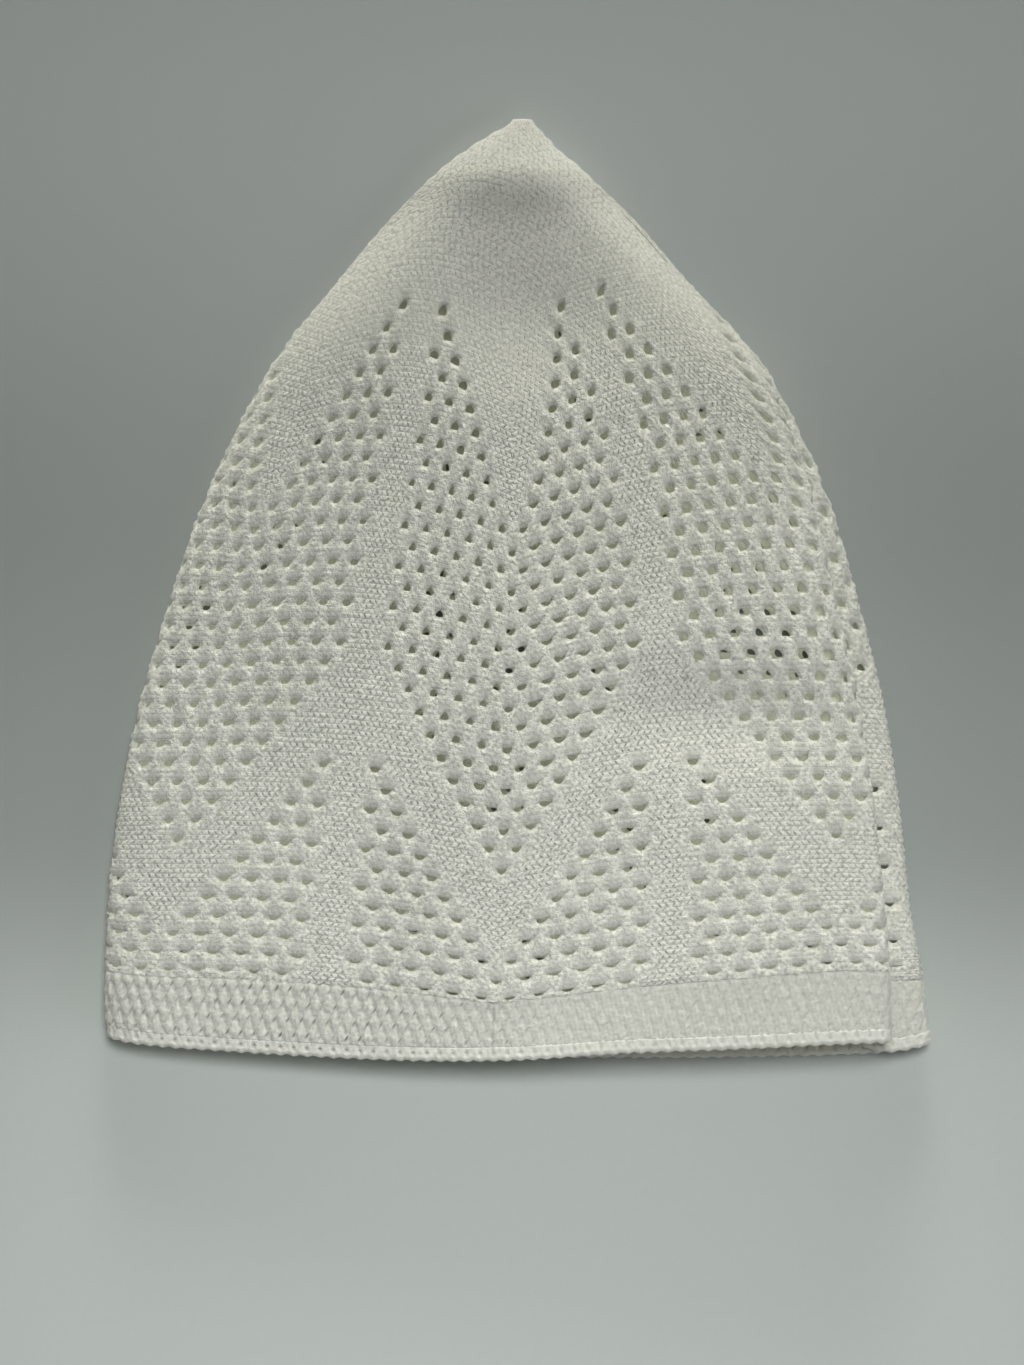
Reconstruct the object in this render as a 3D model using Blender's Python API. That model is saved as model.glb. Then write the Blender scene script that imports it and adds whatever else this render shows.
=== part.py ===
"""Knitted prayer cap, folded flat and lying on its back layer.

The cap is a tube of knitted cloth that closes in a rounded point. It lies with the rim at -Y and
the point at +Y, the back layer on z = 0 and the front layer a little above it. Near its right edge
the front layer has an old fold: the cloth turns back under itself and comes out again as a lower
strip beside it. Each cross-section at one height above the rim is a closed loop in X and Z.
"""

import bpy
import bmesh
import numpy as np
from mathutils import Vector

# Driving sizes, in metres.
MM = 0.001
CAP_HEIGHT = 0.2697
CHAIN_HEIGHT = 0.0042
BAND_TOP = 0.0205
SEAM_GAP = 0.0003
CROWN_WALL = 0.0018
BAND_WALL = 0.0030
CHAIN_WALL = 0.0034
INNER_TOP = 0.2610
SAMPLES_PER_KNOT = 3

# The sections, in millimetres. up: height above the rim. left, right: the two outer folds.
# edge: right edge of the front layer at the old fold. tuck: how far the cloth turns back there.
# low: height of the left fold. rise, crest, bulge: outer height of the front layer at a quarter,
# a half and three quarters of its width. lip: its height at the edge. strip: outer height of the
# lower strip. base: lift of the underside. In the last column, 1 is the full old fold and 0 none.
COLUMNS = (
    "up", "left", "right", "edge", "tuck", "low", "rise", "crest", "bulge", "lip", "strip", "base",
    "fold",
)
SECTIONS = (
    (0.0, -117.6, 118.1, 106.7, 7.0, 12.5, 18.5, 23.0, 27.0, 26.5, 11.5, 0.0, 1.0),
    (15.0, -118.1, 118.1, 106.7, 7.0, 12.5, 18.5, 23.0, 27.0, 26.5, 11.5, 0.0, 1.0),
    (42.0, -117.0, 113.8, 105.0, 7.0, 12.0, 18.5, 23.0, 26.5, 25.5, 11.0, 0.0, 1.0),
    (68.0, -113.6, 110.2, 102.4, 7.0, 11.5, 18.5, 23.0, 26.0, 24.5, 10.5, 0.0, 1.0),
    (99.0, -107.2, 105.1, 98.0, 6.5, 11.0, 18.0, 22.5, 25.0, 23.0, 10.0, 0.0, 1.0),
    (128.0, -99.2, 98.3, 91.4, 6.0, 11.0, 17.5, 21.5, 23.5, 21.0, 10.0, 0.0, 0.9),
    (157.0, -89.6, 90.3, 84.3, 5.0, 11.0, 17.0, 20.0, 21.5, 19.0, 10.0, 0.0, 0.7),
    (179.0, -79.8, 81.4, 75.8, 4.0, 11.0, 16.0, 18.0, 19.0, 17.0, 10.0, 0.0, 0.45),
    (199.0, -68.9, 69.8, 66.5, 3.0, 11.0, 15.0, 16.0, 17.0, 15.5, 10.0, 0.0, 0.15),
    (221.0, -52.0, 50.4, 48.0, 2.0, 10.5, 14.0, 13.6, 14.6, 14.0, 10.0, 0.0, 0.0),
    (241.0, -35.6, 33.6, 32.0, 1.0, 10.0, 12.8, 11.8, 12.6, 12.5, 10.0, 0.0, 0.0),
    (256.0, -20.0, 20.2, 19.0, 0.5, 9.5, 12.0, 12.0, 12.0, 12.0, 10.0, 0.6, 0.0),
    (264.0, -9.6, 12.6, 12.0, 0.2, 9.0, 11.0, 11.4, 11.0, 11.0, 9.5, 1.8, 0.0),
    (268.4, -3.0, 7.4, 7.0, 0.1, 8.0, 9.2, 9.4, 9.2, 9.0, 8.2, 3.6, 0.0),
)
# Between these heights the folded loop turns into the round loop of the point.
ROUND_FROM = 0.185
ROUND_FULL = 0.252
ROUND_POWER = 0.78

# Reach of the outer folds and of the old fold, and the same as a share of a narrow section.
NEAR = 0.011
NEAR_SHARE = 0.11
HOOK = 0.005
HOOK_SHARE = 0.10
# How far down from the lip to the strip the turned-back cloth hangs, and its innermost reach.
UNDER_SHARE = 0.66
DEEP_HOOKS = 0.6

# The loop's control points, clockwise from the left fold. Across, a point lies the given number of
# units from its anchor. In height it lies the given share of the way from one level to the next.
# The last column says which rim line it follows.
KNOT_COLUMNS = ("anchor", "number", "unit", "level", "next_level", "share", "rim")
LEFT_FOLD = (
    ("left", 0.0, "near", "base", "low", 0.25, "back"),
    ("left", 0.0, "near", "base", "low", 0.85, "front"),
    ("left", 0.55, "near", "low", "rise", 0.10, "front"),
    ("left", 1.6, "near", "low", "rise", 0.45, "front"),
)
FRONT_LAYER = (
    ("left", 0.30, "front", "rise", "crest", 0.0, "front"),
    ("left", 0.42, "front", "rise", "crest", 0.5, "front"),
    ("left", 0.54, "front", "crest", "bulge", 0.0, "front"),
    ("left", 0.66, "front", "crest", "bulge", 0.5, "front"),
    ("left", 0.78, "front", "bulge", "lip", 0.0, "front"),
    ("edge", -1.4, "near", "bulge", "lip", 0.5, "front"),
)
OLD_FOLD = (
    ("edge", -1.0, "hook", "lip", "under", 0.0, "front"),
    ("edge", 0.2, "hook", "lip", "under", 0.08, "front"),
    ("edge", 0.2, "hook", "lip", "under", 0.92, "front"),
    ("edge", -1.0, "hook", "lip", "under", 1.0, "back"),
    ("deep", 0.0, "hook", "under", "strip", 0.15, "back"),
    ("deep", 0.0, "hook", "under", "strip", 0.85, "back"),
    ("edge", -1.0, "hook", "strip", "base", 0.0, "back"),
    ("right", -0.6, "hook", "strip", "base", 0.0, "back"),
    ("right", 0.0, "hook", "strip", "base", 0.25, "back"),
    ("right", 0.0, "hook", "strip", "base", 0.75, "back"),
)
BACK_LAYER = (
    ("right", -0.5, "near", "base", "base", 0.0, "back"),
    ("right", -1.6, "near", "base", "base", 0.0, "back"),
    ("left", 0.62, "width", "base", "base", 0.0, "back"),
    ("left", 0.42, "width", "base", "base", 0.0, "back"),
    ("left", 1.6, "near", "base", "base", 0.0, "back"),
    ("left", 0.5, "near", "base", "base", 0.0, "back"),
)
# Where the old fold has faded out, the right fold is part of a circle, between these angles.
PLAIN_FOLD_FROM = 85
PLAIN_FOLD_TO = -70
# The round loop starts at this angle, so that its points stay close to the folded loop's.
ROUND_START = 190

# How far the rim stands back from a straight line, in millimetres, across the cap.
RIM_COLUMNS = ("across", "front", "back")
RIM_LINE = (
    (-118.0, 7.4, 7.6),
    (-109.0, 5.0, 6.0),
    (-96.0, 3.7, 4.8),
    (-60.0, 1.4, 2.6),
    (-24.0, 0.0, 1.2),
    (0.0, 0.1, 0.4),
    (24.0, 2.3, 0.3),
    (48.0, 3.5, 0.4),
    (76.0, 4.4, 1.0),
    (106.7, 5.6, 3.2),
    (118.4, 5.6, 5.2),
)
RIM_FADE = 0.080

# Heights of the rings that the three pieces are made of, in millimetres above the rim.
CROWN_RINGS = (
    30, 42, 55, 68, 84, 99, 114, 128, 143, 157, 168, 179, 189, 199, 210, 221, 231, 241, 249,
)
CROWN_TIP_RINGS = (256, 261, 265, 268.4)

COLOURS = {
    "knit_crown": (0.86, 0.87, 0.83, 1.0),
    "knit_band": (0.87, 0.88, 0.84, 1.0),
    "chain_edge": (0.88, 0.89, 0.85, 1.0),
}


def column(rows, columns, name):
    """One column of a table: metres, apart from the share of the old fold."""
    unit = 1.0 if name == "fold" else MM
    return np.array([row[columns.index(name)] for row in rows]) * unit


def smooth_through(xs, ys, at):
    """A curve through the rows of a table that never swings past them."""
    step = np.diff(xs)
    slope = np.diff(ys) / step
    tangent = np.zeros(len(xs))
    tangent[0] = slope[0]
    tangent[-1] = slope[-1]
    for i in range(1, len(xs) - 1):
        if slope[i - 1] * slope[i] > 0:
            w0 = 2 * step[i] + step[i - 1]
            w1 = step[i] + 2 * step[i - 1]
            tangent[i] = (w0 + w1) / (w0 / slope[i - 1] + w1 / slope[i])
    at = np.clip(at, xs[0], xs[-1])
    i = np.clip(np.searchsorted(xs, at, side="right") - 1, 0, len(xs) - 2)
    t = (at - xs[i]) / step[i]
    return (
        (2 * t**3 - 3 * t**2 + 1) * ys[i]
        + (t**3 - 2 * t**2 + t) * step[i] * tangent[i]
        + (3 * t**2 - 2 * t**3) * ys[i + 1]
        + (t**3 - t**2) * step[i] * tangent[i + 1]
    )


def section_at(up):
    ups = column(SECTIONS, COLUMNS, "up")
    return {
        name: float(smooth_through(ups, column(SECTIONS, COLUMNS, name), up)) for name in COLUMNS
    }


def rim_setback(across, side):
    return float(
        smooth_through(
            column(RIM_LINE, RIM_COLUMNS, "across"), column(RIM_LINE, RIM_COLUMNS, side), across
        )
    )


def arc(middle, half, start, stop, count, power=1.0):
    """Points on part of an ellipse, clockwise, angles in degrees. Under 1, the power fills it out."""
    angles = np.radians(np.linspace(start, stop, count))
    across = np.sign(np.cos(angles)) * np.abs(np.cos(angles)) ** power
    height = np.sign(np.sin(angles)) * np.abs(np.sin(angles)) ** power
    return np.column_stack((middle[0] + half[0] * across, middle[1] + half[1] * height))


def levels_at(up):
    """The section's own values, with the reaches and levels that follow from them."""
    s = section_at(up)
    s["width"] = s["right"] - s["left"]
    s["front"] = s["edge"] - s["left"]
    s["near"] = min(NEAR, NEAR_SHARE * s["width"])
    s["hook"] = min(HOOK, HOOK_SHARE * s["width"])
    s["under"] = s["lip"] + UNDER_SHARE * (s["strip"] - s["lip"])
    s["deep"] = s["edge"] - s["tuck"] - DEEP_HOOKS * s["hook"]
    return s


def placed(s, rows):
    """Control points of a table, across and in height."""
    points = []
    for row in rows:
        knot = dict(zip(KNOT_COLUMNS, row))
        level = s[knot["level"]]
        height = level + knot["share"] * (s[knot["next_level"]] - level)
        points.append((s[knot["anchor"]] + knot["number"] * s[knot["unit"]], height))
    return np.array(points)


def knots(s):
    """The loop's control points, from the left fold over the front layer and back underneath."""
    half = 0.5 * (s["lip"] - s["base"])
    centre = (s["right"] - half, s["base"] + half)
    plain_fold = arc(centre, (half, half), PLAIN_FOLD_FROM, PLAIN_FOLD_TO, len(OLD_FOLD))
    right_end = plain_fold + s["fold"] * (placed(s, OLD_FOLD) - plain_fold)
    folded = np.vstack(
        (placed(s, LEFT_FOLD), placed(s, FRONT_LAYER), right_end, placed(s, BACK_LAYER))
    )
    half = 0.5 * (s["crest"] - s["base"])
    centre = (0.5 * (s["left"] + s["right"]), s["base"] + half)
    last = ROUND_START - 360 + 360 / len(folded)
    pointed = arc(centre, (0.5 * s["width"], half), ROUND_START, last, len(folded), ROUND_POWER)
    share = np.clip((s["up"] - ROUND_FROM) / (ROUND_FULL - ROUND_FROM), 0, 1)
    return folded + share * share * (3 - 2 * share) * (pointed - folded)


def loop_at(up, samples=SAMPLES_PER_KNOT):
    """One closed cross-section as rows of x, y, z: a smooth curve drawn in by its control points."""
    s = levels_at(up)
    fade = max(0.0, 1.0 - up / RIM_FADE) ** 2
    rim = KNOT_COLUMNS.index("rim")
    sides = [row[rim] for row in LEFT_FOLD + FRONT_LAYER + OLD_FOLD + BACK_LAYER]
    control = np.array(
        [(x, fade * rim_setback(x, side), z) for (x, z), side in zip(knots(s), sides)]
    )
    count = len(control)
    at = np.arange(count * samples) / samples
    i = at.astype(int)
    t = (at - i)[:, None]
    before, start, end, after = (control[(i + k) % count] for k in (-1, 0, 1, 2))
    points = (
        (1 - t) ** 3 * before
        + (3 * t**3 - 6 * t**2 + 4) * start
        + (-3 * t**3 + 3 * t**2 + 3 * t + 1) * end
        + t**3 * after
    ) / 6
    low, high = points[:, 0].min(), points[:, 0].max()
    points[:, 0] = s["left"] + (points[:, 0] - low) * (s["right"] - s["left"]) / (high - low)
    points[:, 1] += up - CAP_HEIGHT / 2
    return points


def inward(points, wall):
    """The same loop moved in by the wall's thickness, for the inner face of the cloth."""
    ahead = np.roll(points, -1, axis=0) - np.roll(points, 1, axis=0)
    across, height = ahead[:, 0], ahead[:, 2]
    length = np.hypot(across, height)
    moved = points.copy()
    moved[:, 0] += wall * height / length
    moved[:, 2] -= wall * across / length
    return moved


def skin(mesh, rings, inside):
    """Joins rings of points with quads, facing out, or facing in for the inner face."""
    for low, high in zip(rings, rings[1:]):
        for k in range(len(low)):
            n = (k + 1) % len(low)
            quad = [low[k], low[n], high[n], high[k]]
            mesh.faces.new(quad if not inside else quad[::-1])


def vertices(mesh, points):
    return [mesh.verts.new(Vector(p)) for p in points]


def sleeve(ups, wall):
    """A tube of cloth between two heights, open at both ends."""
    mesh = bmesh.new()
    outer = [vertices(mesh, loop_at(up)) for up in ups]
    inner = [vertices(mesh, inward(loop_at(up), wall)) for up in ups]
    skin(mesh, outer, inside=False)
    skin(mesh, inner, inside=True)
    skin(mesh, [inner[0], outer[0]], inside=False)
    skin(mesh, [outer[-1], inner[-1]], inside=False)
    return mesh


def bag(ups, tip_ups, wall):
    """A tube of cloth closed by a thick rounded point."""
    mesh = bmesh.new()
    outer = [vertices(mesh, loop_at(up)) for up in list(ups) + list(tip_ups)]
    inner = [vertices(mesh, inward(loop_at(up), wall)) for up in ups]
    skin(mesh, outer, inside=False)
    skin(mesh, inner, inside=True)
    skin(mesh, [inner[0], outer[0]], inside=False)
    top = loop_at(tip_ups[-1])
    tip = mesh.verts.new(Vector(top.mean(axis=0)) + Vector((0, CAP_HEIGHT - tip_ups[-1], 0)))
    deep = inward(loop_at(ups[-1]), wall)
    hollow = mesh.verts.new(Vector(deep.mean(axis=0)) + Vector((0, INNER_TOP - ups[-1], 0)))
    for ring, point, outside in ((outer[-1], tip, True), (inner[-1], hollow, False)):
        for k in range(len(ring)):
            n = (k + 1) % len(ring)
            triangle = [ring[k], ring[n], point]
            mesh.faces.new(triangle if outside else triangle[::-1])
    return mesh


def material(name):
    made = bpy.data.materials.new(name)
    made.use_nodes = True
    shader = made.node_tree.nodes["Principled BSDF"]
    shader.inputs["Base Color"].default_value = COLOURS[name]
    shader.inputs["Roughness"].default_value = 0.95
    shader.inputs["Metallic"].default_value = 0.0
    return made


def place(name, mesh):
    data = bpy.data.meshes.new(name)
    mesh.to_mesh(data)
    mesh.free()
    data.materials.append(material(name))
    data.shade_smooth()
    piece = bpy.data.objects.new(name, data)
    bpy.context.scene.collection.objects.link(piece)
    return piece


def main():
    for old in list(bpy.data.objects):
        bpy.data.objects.remove(old, do_unlink=True)
    chain_ups = np.array([0.0, CHAIN_HEIGHT])
    band_ups = np.linspace(CHAIN_HEIGHT + SEAM_GAP, BAND_TOP, 4)
    crown_ups = [BAND_TOP + SEAM_GAP] + [up * MM for up in CROWN_RINGS]
    place("chain_edge", sleeve(chain_ups, CHAIN_WALL))
    place("knit_band", sleeve(band_ups, BAND_WALL))
    place("knit_crown", bag(crown_ups, [up * MM for up in CROWN_TIP_RINGS], CROWN_WALL))


main()
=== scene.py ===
"""Looks of a knitted prayer cap that lies folded flat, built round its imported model.

The cap is one knitted cloth: a lace crown of five repeats, a thicker band of leaning stitches and a
chain stitch round the rim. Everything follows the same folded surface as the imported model. A place
on the cloth is given by its repeat and its height above the rim, and the lace is laid out in
stitches across and courses up.
"""

import math

import bpy
import numpy as np
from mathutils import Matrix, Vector


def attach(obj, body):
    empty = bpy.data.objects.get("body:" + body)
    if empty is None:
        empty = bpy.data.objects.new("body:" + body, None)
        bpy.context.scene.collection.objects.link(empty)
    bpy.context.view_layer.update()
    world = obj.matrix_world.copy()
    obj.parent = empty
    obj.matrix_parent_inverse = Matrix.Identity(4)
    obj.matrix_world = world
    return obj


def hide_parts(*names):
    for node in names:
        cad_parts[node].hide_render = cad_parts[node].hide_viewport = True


bl_info = {
    "name": "Knitted prayer cap",
    "version": (1, 0, 0),
    "blender": (4, 5, 0),
    "location": "View3D > Sidebar > Cap",
    "description": "Builds a folded lace-knit cap with its band, chain edge and studio floor",
    "category": "Add Mesh",
}

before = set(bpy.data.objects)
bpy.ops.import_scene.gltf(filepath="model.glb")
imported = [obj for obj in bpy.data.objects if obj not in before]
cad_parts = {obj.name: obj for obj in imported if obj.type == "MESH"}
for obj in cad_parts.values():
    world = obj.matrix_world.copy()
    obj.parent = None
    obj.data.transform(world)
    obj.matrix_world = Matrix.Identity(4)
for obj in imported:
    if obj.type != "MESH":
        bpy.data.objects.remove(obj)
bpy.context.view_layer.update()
MM = 0.001

# The folded surface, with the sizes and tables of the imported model.
CAP_HEIGHT = 0.2697
CHAIN_HEIGHT = 0.0042
# Cross-sections in millimetres: their height over the rim, the edges of both layers and of the old
# fold, the levels of the loop's knots, and how much of the old fold is left.
COLUMNS = (
    "up", "left", "right", "edge", "tuck", "low", "rise", "crest", "bulge", "lip", "strip", "base",
    "fold",
)
SECTIONS = (
    (0.0, -115.4, 117.4, 103.6, 7.0, 12.5, 18.5, 23.0, 27.0, 26.5, 11.5, 0.0, 1.0),
    (15.0, -115.8, 116.0, 103.6, 7.0, 12.5, 18.5, 23.0, 27.0, 26.5, 11.5, 0.0, 1.0),
    (42.0, -115.2, 111.8, 101.8, 7.0, 12.0, 18.5, 23.0, 26.5, 25.5, 11.0, 0.0, 1.0),
    (68.0, -112.9, 109.4, 99.6, 7.0, 11.5, 18.5, 23.0, 26.0, 24.5, 10.5, 0.0, 1.0),
    (99.0, -107.2, 105.1, 95.6, 6.5, 11.0, 18.0, 22.5, 25.0, 23.0, 10.0, 0.0, 1.0),
    (128.0, -99.2, 98.3, 88.6, 6.0, 11.0, 17.5, 21.5, 23.5, 21.0, 10.0, 0.0, 0.9),
    (157.0, -89.6, 90.3, 81.2, 5.0, 11.0, 17.0, 20.0, 21.5, 19.0, 10.0, 0.0, 0.7),
    (179.0, -79.8, 81.4, 73.0, 4.0, 11.0, 16.0, 18.0, 19.0, 17.0, 10.0, 0.0, 0.45),
    (199.0, -68.9, 69.8, 65.0, 3.0, 11.0, 15.0, 16.0, 17.0, 15.5, 10.0, 0.0, 0.15),
    (221.0, -52.0, 50.4, 48.0, 2.0, 10.5, 14.0, 13.6, 14.6, 14.0, 10.0, 0.0, 0.0),
    (241.0, -35.6, 33.6, 32.0, 1.0, 10.0, 12.8, 11.8, 12.6, 12.5, 10.0, 0.0, 0.0),
    (252.0, -24.6, 22.0, 21.0, 0.6, 9.6, 12.2, 12.6, 12.2, 12.2, 10.0, 0.4, 0.0),
    (256.0, -20.2, 17.9, 17.2, 0.5, 9.5, 11.6, 11.9, 11.6, 11.6, 10.0, 0.8, 0.0),
    (260.5, -14.2, 12.3, 11.8, 0.3, 9.2, 10.6, 10.6, 10.6, 10.6, 9.6, 1.4, 0.0),
    (264.0, -8.8, 9.2, 8.9, 0.2, 9.0, 9.4, 9.4, 9.4, 9.4, 9.0, 2.0, 0.0),
    (266.6, -4.4, 6.9, 6.7, 0.1, 8.0, 8.4, 8.4, 8.4, 8.4, 8.2, 2.8, 0.0),
    (268.4, -1.5, 5.4, 5.2, 0.1, 7.4, 7.6, 7.6, 7.6, 7.6, 7.4, 3.6, 0.0),
)
# Towards the tip the folded loop turns into a rounded one.
ROUND_FROM = 0.185
ROUND_FULL = 0.252
ROUND_POWER = 0.95
# Short steps beside the folds, and the share of the width that they stay under.
NEAR = 0.011
NEAR_SHARE = 0.11
HOOK = 0.005
HOOK_SHARE = 0.10
# The old fold: how far down its cloth turns back, and how far in it goes.
UNDER_SHARE = 0.66
DEEP_HOOKS = 0.6
# Knots of the loop: an edge, how many units off it, a height as a share between two levels, and the
# layer whose rim they follow.
KNOT_COLUMNS = ("anchor", "number", "unit", "level", "next_level", "share", "rim")
LEFT_FOLD = (
    ("left", 0.0, "near", "base", "low", 0.25, "back"),
    ("left", 0.0, "near", "base", "low", 0.85, "front"),
    ("left", 0.55, "near", "low", "rise", 0.10, "front"),
    ("left", 1.6, "near", "low", "rise", 0.45, "front"),
)
FRONT_LAYER = (
    ("left", 0.30, "front", "rise", "crest", 0.0, "front"),
    ("left", 0.42, "front", "rise", "crest", 0.5, "front"),
    ("left", 0.54, "front", "crest", "bulge", 0.0, "front"),
    ("left", 0.66, "front", "crest", "bulge", 0.5, "front"),
    ("left", 0.78, "front", "bulge", "lip", 0.0, "front"),
    ("edge", -1.4, "near", "bulge", "lip", 0.5, "front"),
)
OLD_FOLD = (
    ("edge", -1.0, "hook", "lip", "under", 0.0, "front"),
    ("edge", 0.2, "hook", "lip", "under", 0.08, "front"),
    ("edge", 0.2, "hook", "lip", "under", 0.92, "front"),
    ("edge", -1.0, "hook", "lip", "under", 1.0, "tucked"),
    ("deep", 0.0, "hook", "under", "strip", 0.15, "tucked"),
    ("deep", 0.0, "hook", "under", "strip", 0.85, "tucked"),
    ("edge", -1.0, "hook", "strip", "base", 0.0, "back"),
    ("right", -0.6, "hook", "strip", "base", 0.0, "back"),
    ("right", 0.0, "hook", "strip", "base", 0.25, "back"),
    ("right", 0.0, "hook", "strip", "base", 0.75, "back"),
)
BACK_LAYER = (
    ("right", -0.5, "near", "base", "base", 0.0, "back"),
    ("right", -1.6, "near", "base", "base", 0.0, "back"),
    ("left", 0.62, "width", "base", "base", 0.0, "back"),
    ("left", 0.42, "width", "base", "base", 0.0, "back"),
    ("left", 1.6, "near", "base", "base", 0.0, "back"),
    ("left", 0.5, "near", "base", "base", 0.0, "back"),
)
# Angles in degrees where the plain right fold starts and ends, and the rounded loop starts.
PLAIN_FOLD_FROM = 85
PLAIN_FOLD_TO = -70
ROUND_START = 190
# How far the rim of each layer is set back, in millimetres, fading out upwards.
RIM_COLUMNS = ("across", "front", "back", "tucked")
RIM_LINE = (
    (-118.0, 7.4, 7.6, 10.0),
    (-109.0, 5.0, 6.0, 8.0),
    (-96.0, 3.7, 4.8, 7.0),
    (-60.0, 1.4, 2.6, 5.0),
    (-24.0, 0.0, 1.2, 4.0),
    (0.0, 0.1, 0.4, 4.0),
    (14.0, 2.1, 0.2, 5.0),
    (24.0, 2.7, 0.1, 6.0),
    (48.0, 3.2, -0.2, 8.0),
    (76.0, 4.7, -0.6, 10.0),
    (106.7, 5.8, 1.8, 10.0),
    (118.4, 5.8, 5.0, 10.0),
)
RIM_FADE = 0.080

# Where the repeats lie on the front layer, in millimetres: the middle of the plain strip left of
# the centre, the width of one repeat, and its width right of the next strip. Repeats are counted
# from the centre leaf, so that strip is at -0.5. Towards the tip they share the loop evenly.
REPEATS = 5
REPEAT_COLUMNS = ("up", "strip", "repeat", "right")
REPEAT_ROWS = (
    (0.0, -54.9, 97.1, 97.1),
    (26.0, -53.4, 96.2, 95.0),
    (85.4, -46.5, 88.2, 92.0),
    (123.1, -42.0, 81.2, 86.5),
    (172.6, -33.4, 65.0, 70.0),
    (190.3, -30.2, 56.9, 60.0),
    (203.1, -28.7, 50.8, 52.5),
    (216.0, -26.5, 43.5, 45.0),
)
EVEN_FROM = 0.205
EVEN_FULL = 0.245
# Control points of the loop where it starts, at the left fold, and where the front layer ends.
LOOP_START = 0.5
FRONT_END = 11.0
# The cloth tucked in at the old fold: the control point where it ends, and the part of a repeat that
# it is short of at the rim, fading out between two heights.
TUCK_END = 16.0
TUCK_SHORT = 0.04
TUCK_HEIGHTS = (0.025, 0.075)
# Behind the old fold the courses hang lower: by how much, between which repeats this comes and goes,
# the course where it is full, and the courses where it fades out.
DROP = 0.0065
DROP_COMES = (1.16, 1.34)
DROP_GOES = (1.6, 2.2)
DROP_FULL = 10.0
DROP_FADES = (80.0, 125.0)

# The lace, in stitches from the middle of a plain strip and courses above the band.
STITCHES = 48
HALF = STITCHES // 2
FIRST_COURSE = -2.0
LAST_COURSE = 164.0
COURSE_START = 0.024857
COURSE_RISE = 0.0013
COURSE_GROWTH = 1.16e-6
# Half a repeat's width in stitches, by course: the crown narrows over the leaf's middle line.
NARROWING = ((100.0, 24.0), (116.0, 19.7), (124.0, 17.5), (132.0, 15.4), (141.0, 11.2),
             (152.0, 6.6), (164.0, 2.4))
# How far a course hangs off its straight line, in millimetres: at the left leaf's middle line, the
# strip beside it, the centre leaf's middle line, the next strip and the right leaf's middle line.
# Behind, all strips and all middle lines hang alike.
SAG_COLUMNS = ("course", "left_leaf", "left_strip", "centre", "right_strip", "right_leaf")
SAG_ROWS = (
    (0.0, -1.5, -2.0, -8.0, -3.0, 0.5),
    (30.0, -0.5, -2.5, -9.5, -2.0, 0.5),
    (60.0, -1.5, -1.5, -9.0, -1.0, 0.0),
    (92.0, -5.0, -3.0, -12.0, -2.0, 3.5),
    (120.0, -7.0, -3.0, -13.0, -0.5, 4.5),
)
SAG_BEHIND = (-2.0, -6.0)
SAG_AT_SEAM = 0.80
SAG_FADE = 34.0
EYELET_COURSES = 4
EYELET_STITCHES = 4
TENT_TOP = 11
LEAF_FOOT = 7
LEAF_NOTCH = 24.5
LEAF_TOP = 33
FIRST_EYELET = 4
# How near the middle line an eyelet may lie, in stitches.
EYELET_GAP = 0.7
# Between which courses or places round the cap the eyelets change their kind or size.
LOW_COURSES = (38, 56)
HIGH_COURSES = (100, 118)
FOOT_COURSES = (-6, 26)
TIGHT_COURSES = (24, 44)
DEEP_COURSES = (8, 46)
LEFT_LEAF = (-0.50, -0.60)
RIGHT_LEAF = (0.42, 0.50)
RIGHT_HALF = (-0.06, 0.08)
BEHIND = (1.15, 1.35)
# Half an eyelet's size across and up, in stitches and courses: plain, what a half-moon and a bell
# add, and the spread of single eyelets. Those at the foot are shorter.
ACROSS_SIZE = (0.82, 0.26, 0.10)
ACROSS_SPREAD = (0.86, 1.10)
UP_SIZE = (0.88, -0.16, 0.12)
UP_SPREAD = (0.86, 1.12)
FOOT_SIZE = 0.60
TIGHTER_BEHIND = 0.22
TIGHTER_LEFT = 0.13
TURN_SPREAD = 0.16
# How much of its half-moons the right half of the centre leaf loses high up, and how far the left
# leaf has them.
MOON_LOSS_HIGH = 0.7
MOON_LEFT = 0.6
# The edge of an eyelet, in its own half sizes: how far its square hole is rounded; a teardrop's width
# at the foot, its taper and its flat foot; what a bell changes of the first two; and a half-moon's
# width at the foot, its spread, its flat top and its sag.
ROUNDED, SQUARE = 0.92, 0.08
DROP_FOOT, DROP_TAPER, DROP_FLAT = 1.05, 0.36, -0.75
BELL_FOOT, BELL_TAPER = 0.05, 0.20
MOON_FOOT, MOON_SPREAD, MOON_FLAT, MOON_SAG = 0.62, 0.24, 0.62, 0.18
# How far an eyelet may widen over its own cells, in steps of the mesh.
WIDEST_OVER = 0.8
# The cloth round an eyelet, in stitches and courses: a scoop over it, a lip under it, how far the
# lace's looser yarn reaches, and how much of that a course takes against a stitch. The window is what
# one eyelet can change, in steps of the mesh.
SCOOP_WIDTH = 1.15
SCOOP_FOR_MOON = 0.25
SCOOP_STARTS = (-1.0, 0.6)
SCOOP_ENDS = (0.8, 4.2)
LIP_WIDTH = 1.3
LIP_BELOW = 1.6
LIP_HEIGHT = 0.8
LACE_REACH = (2.0, 3.4)
LACE_FLAT = 0.9
WINDOW_DOWN = 8
WINDOW_UP = 11
WINDOW_SIDE = 9

# Reliefs in metres.
EYELET_RELIEF = 0.00018
EYELET_RELIEF_LOW = 0.25
PLAIN_RELIEF = 0.00007
RIDGE_RELIEF = 0.00024
UNEVEN = 0.00005
FOLD_RELIEF = 0.00022
BENT = (0.1, 0.6)
SMOOTH_COURSES = (115, 140)
SMOOTH_LOSS = 0.7
# The crown's first courses sink a little where the band meets them.
SEAM_TUCK = 0.0003
SEAM_COURSES = 1.2
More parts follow.
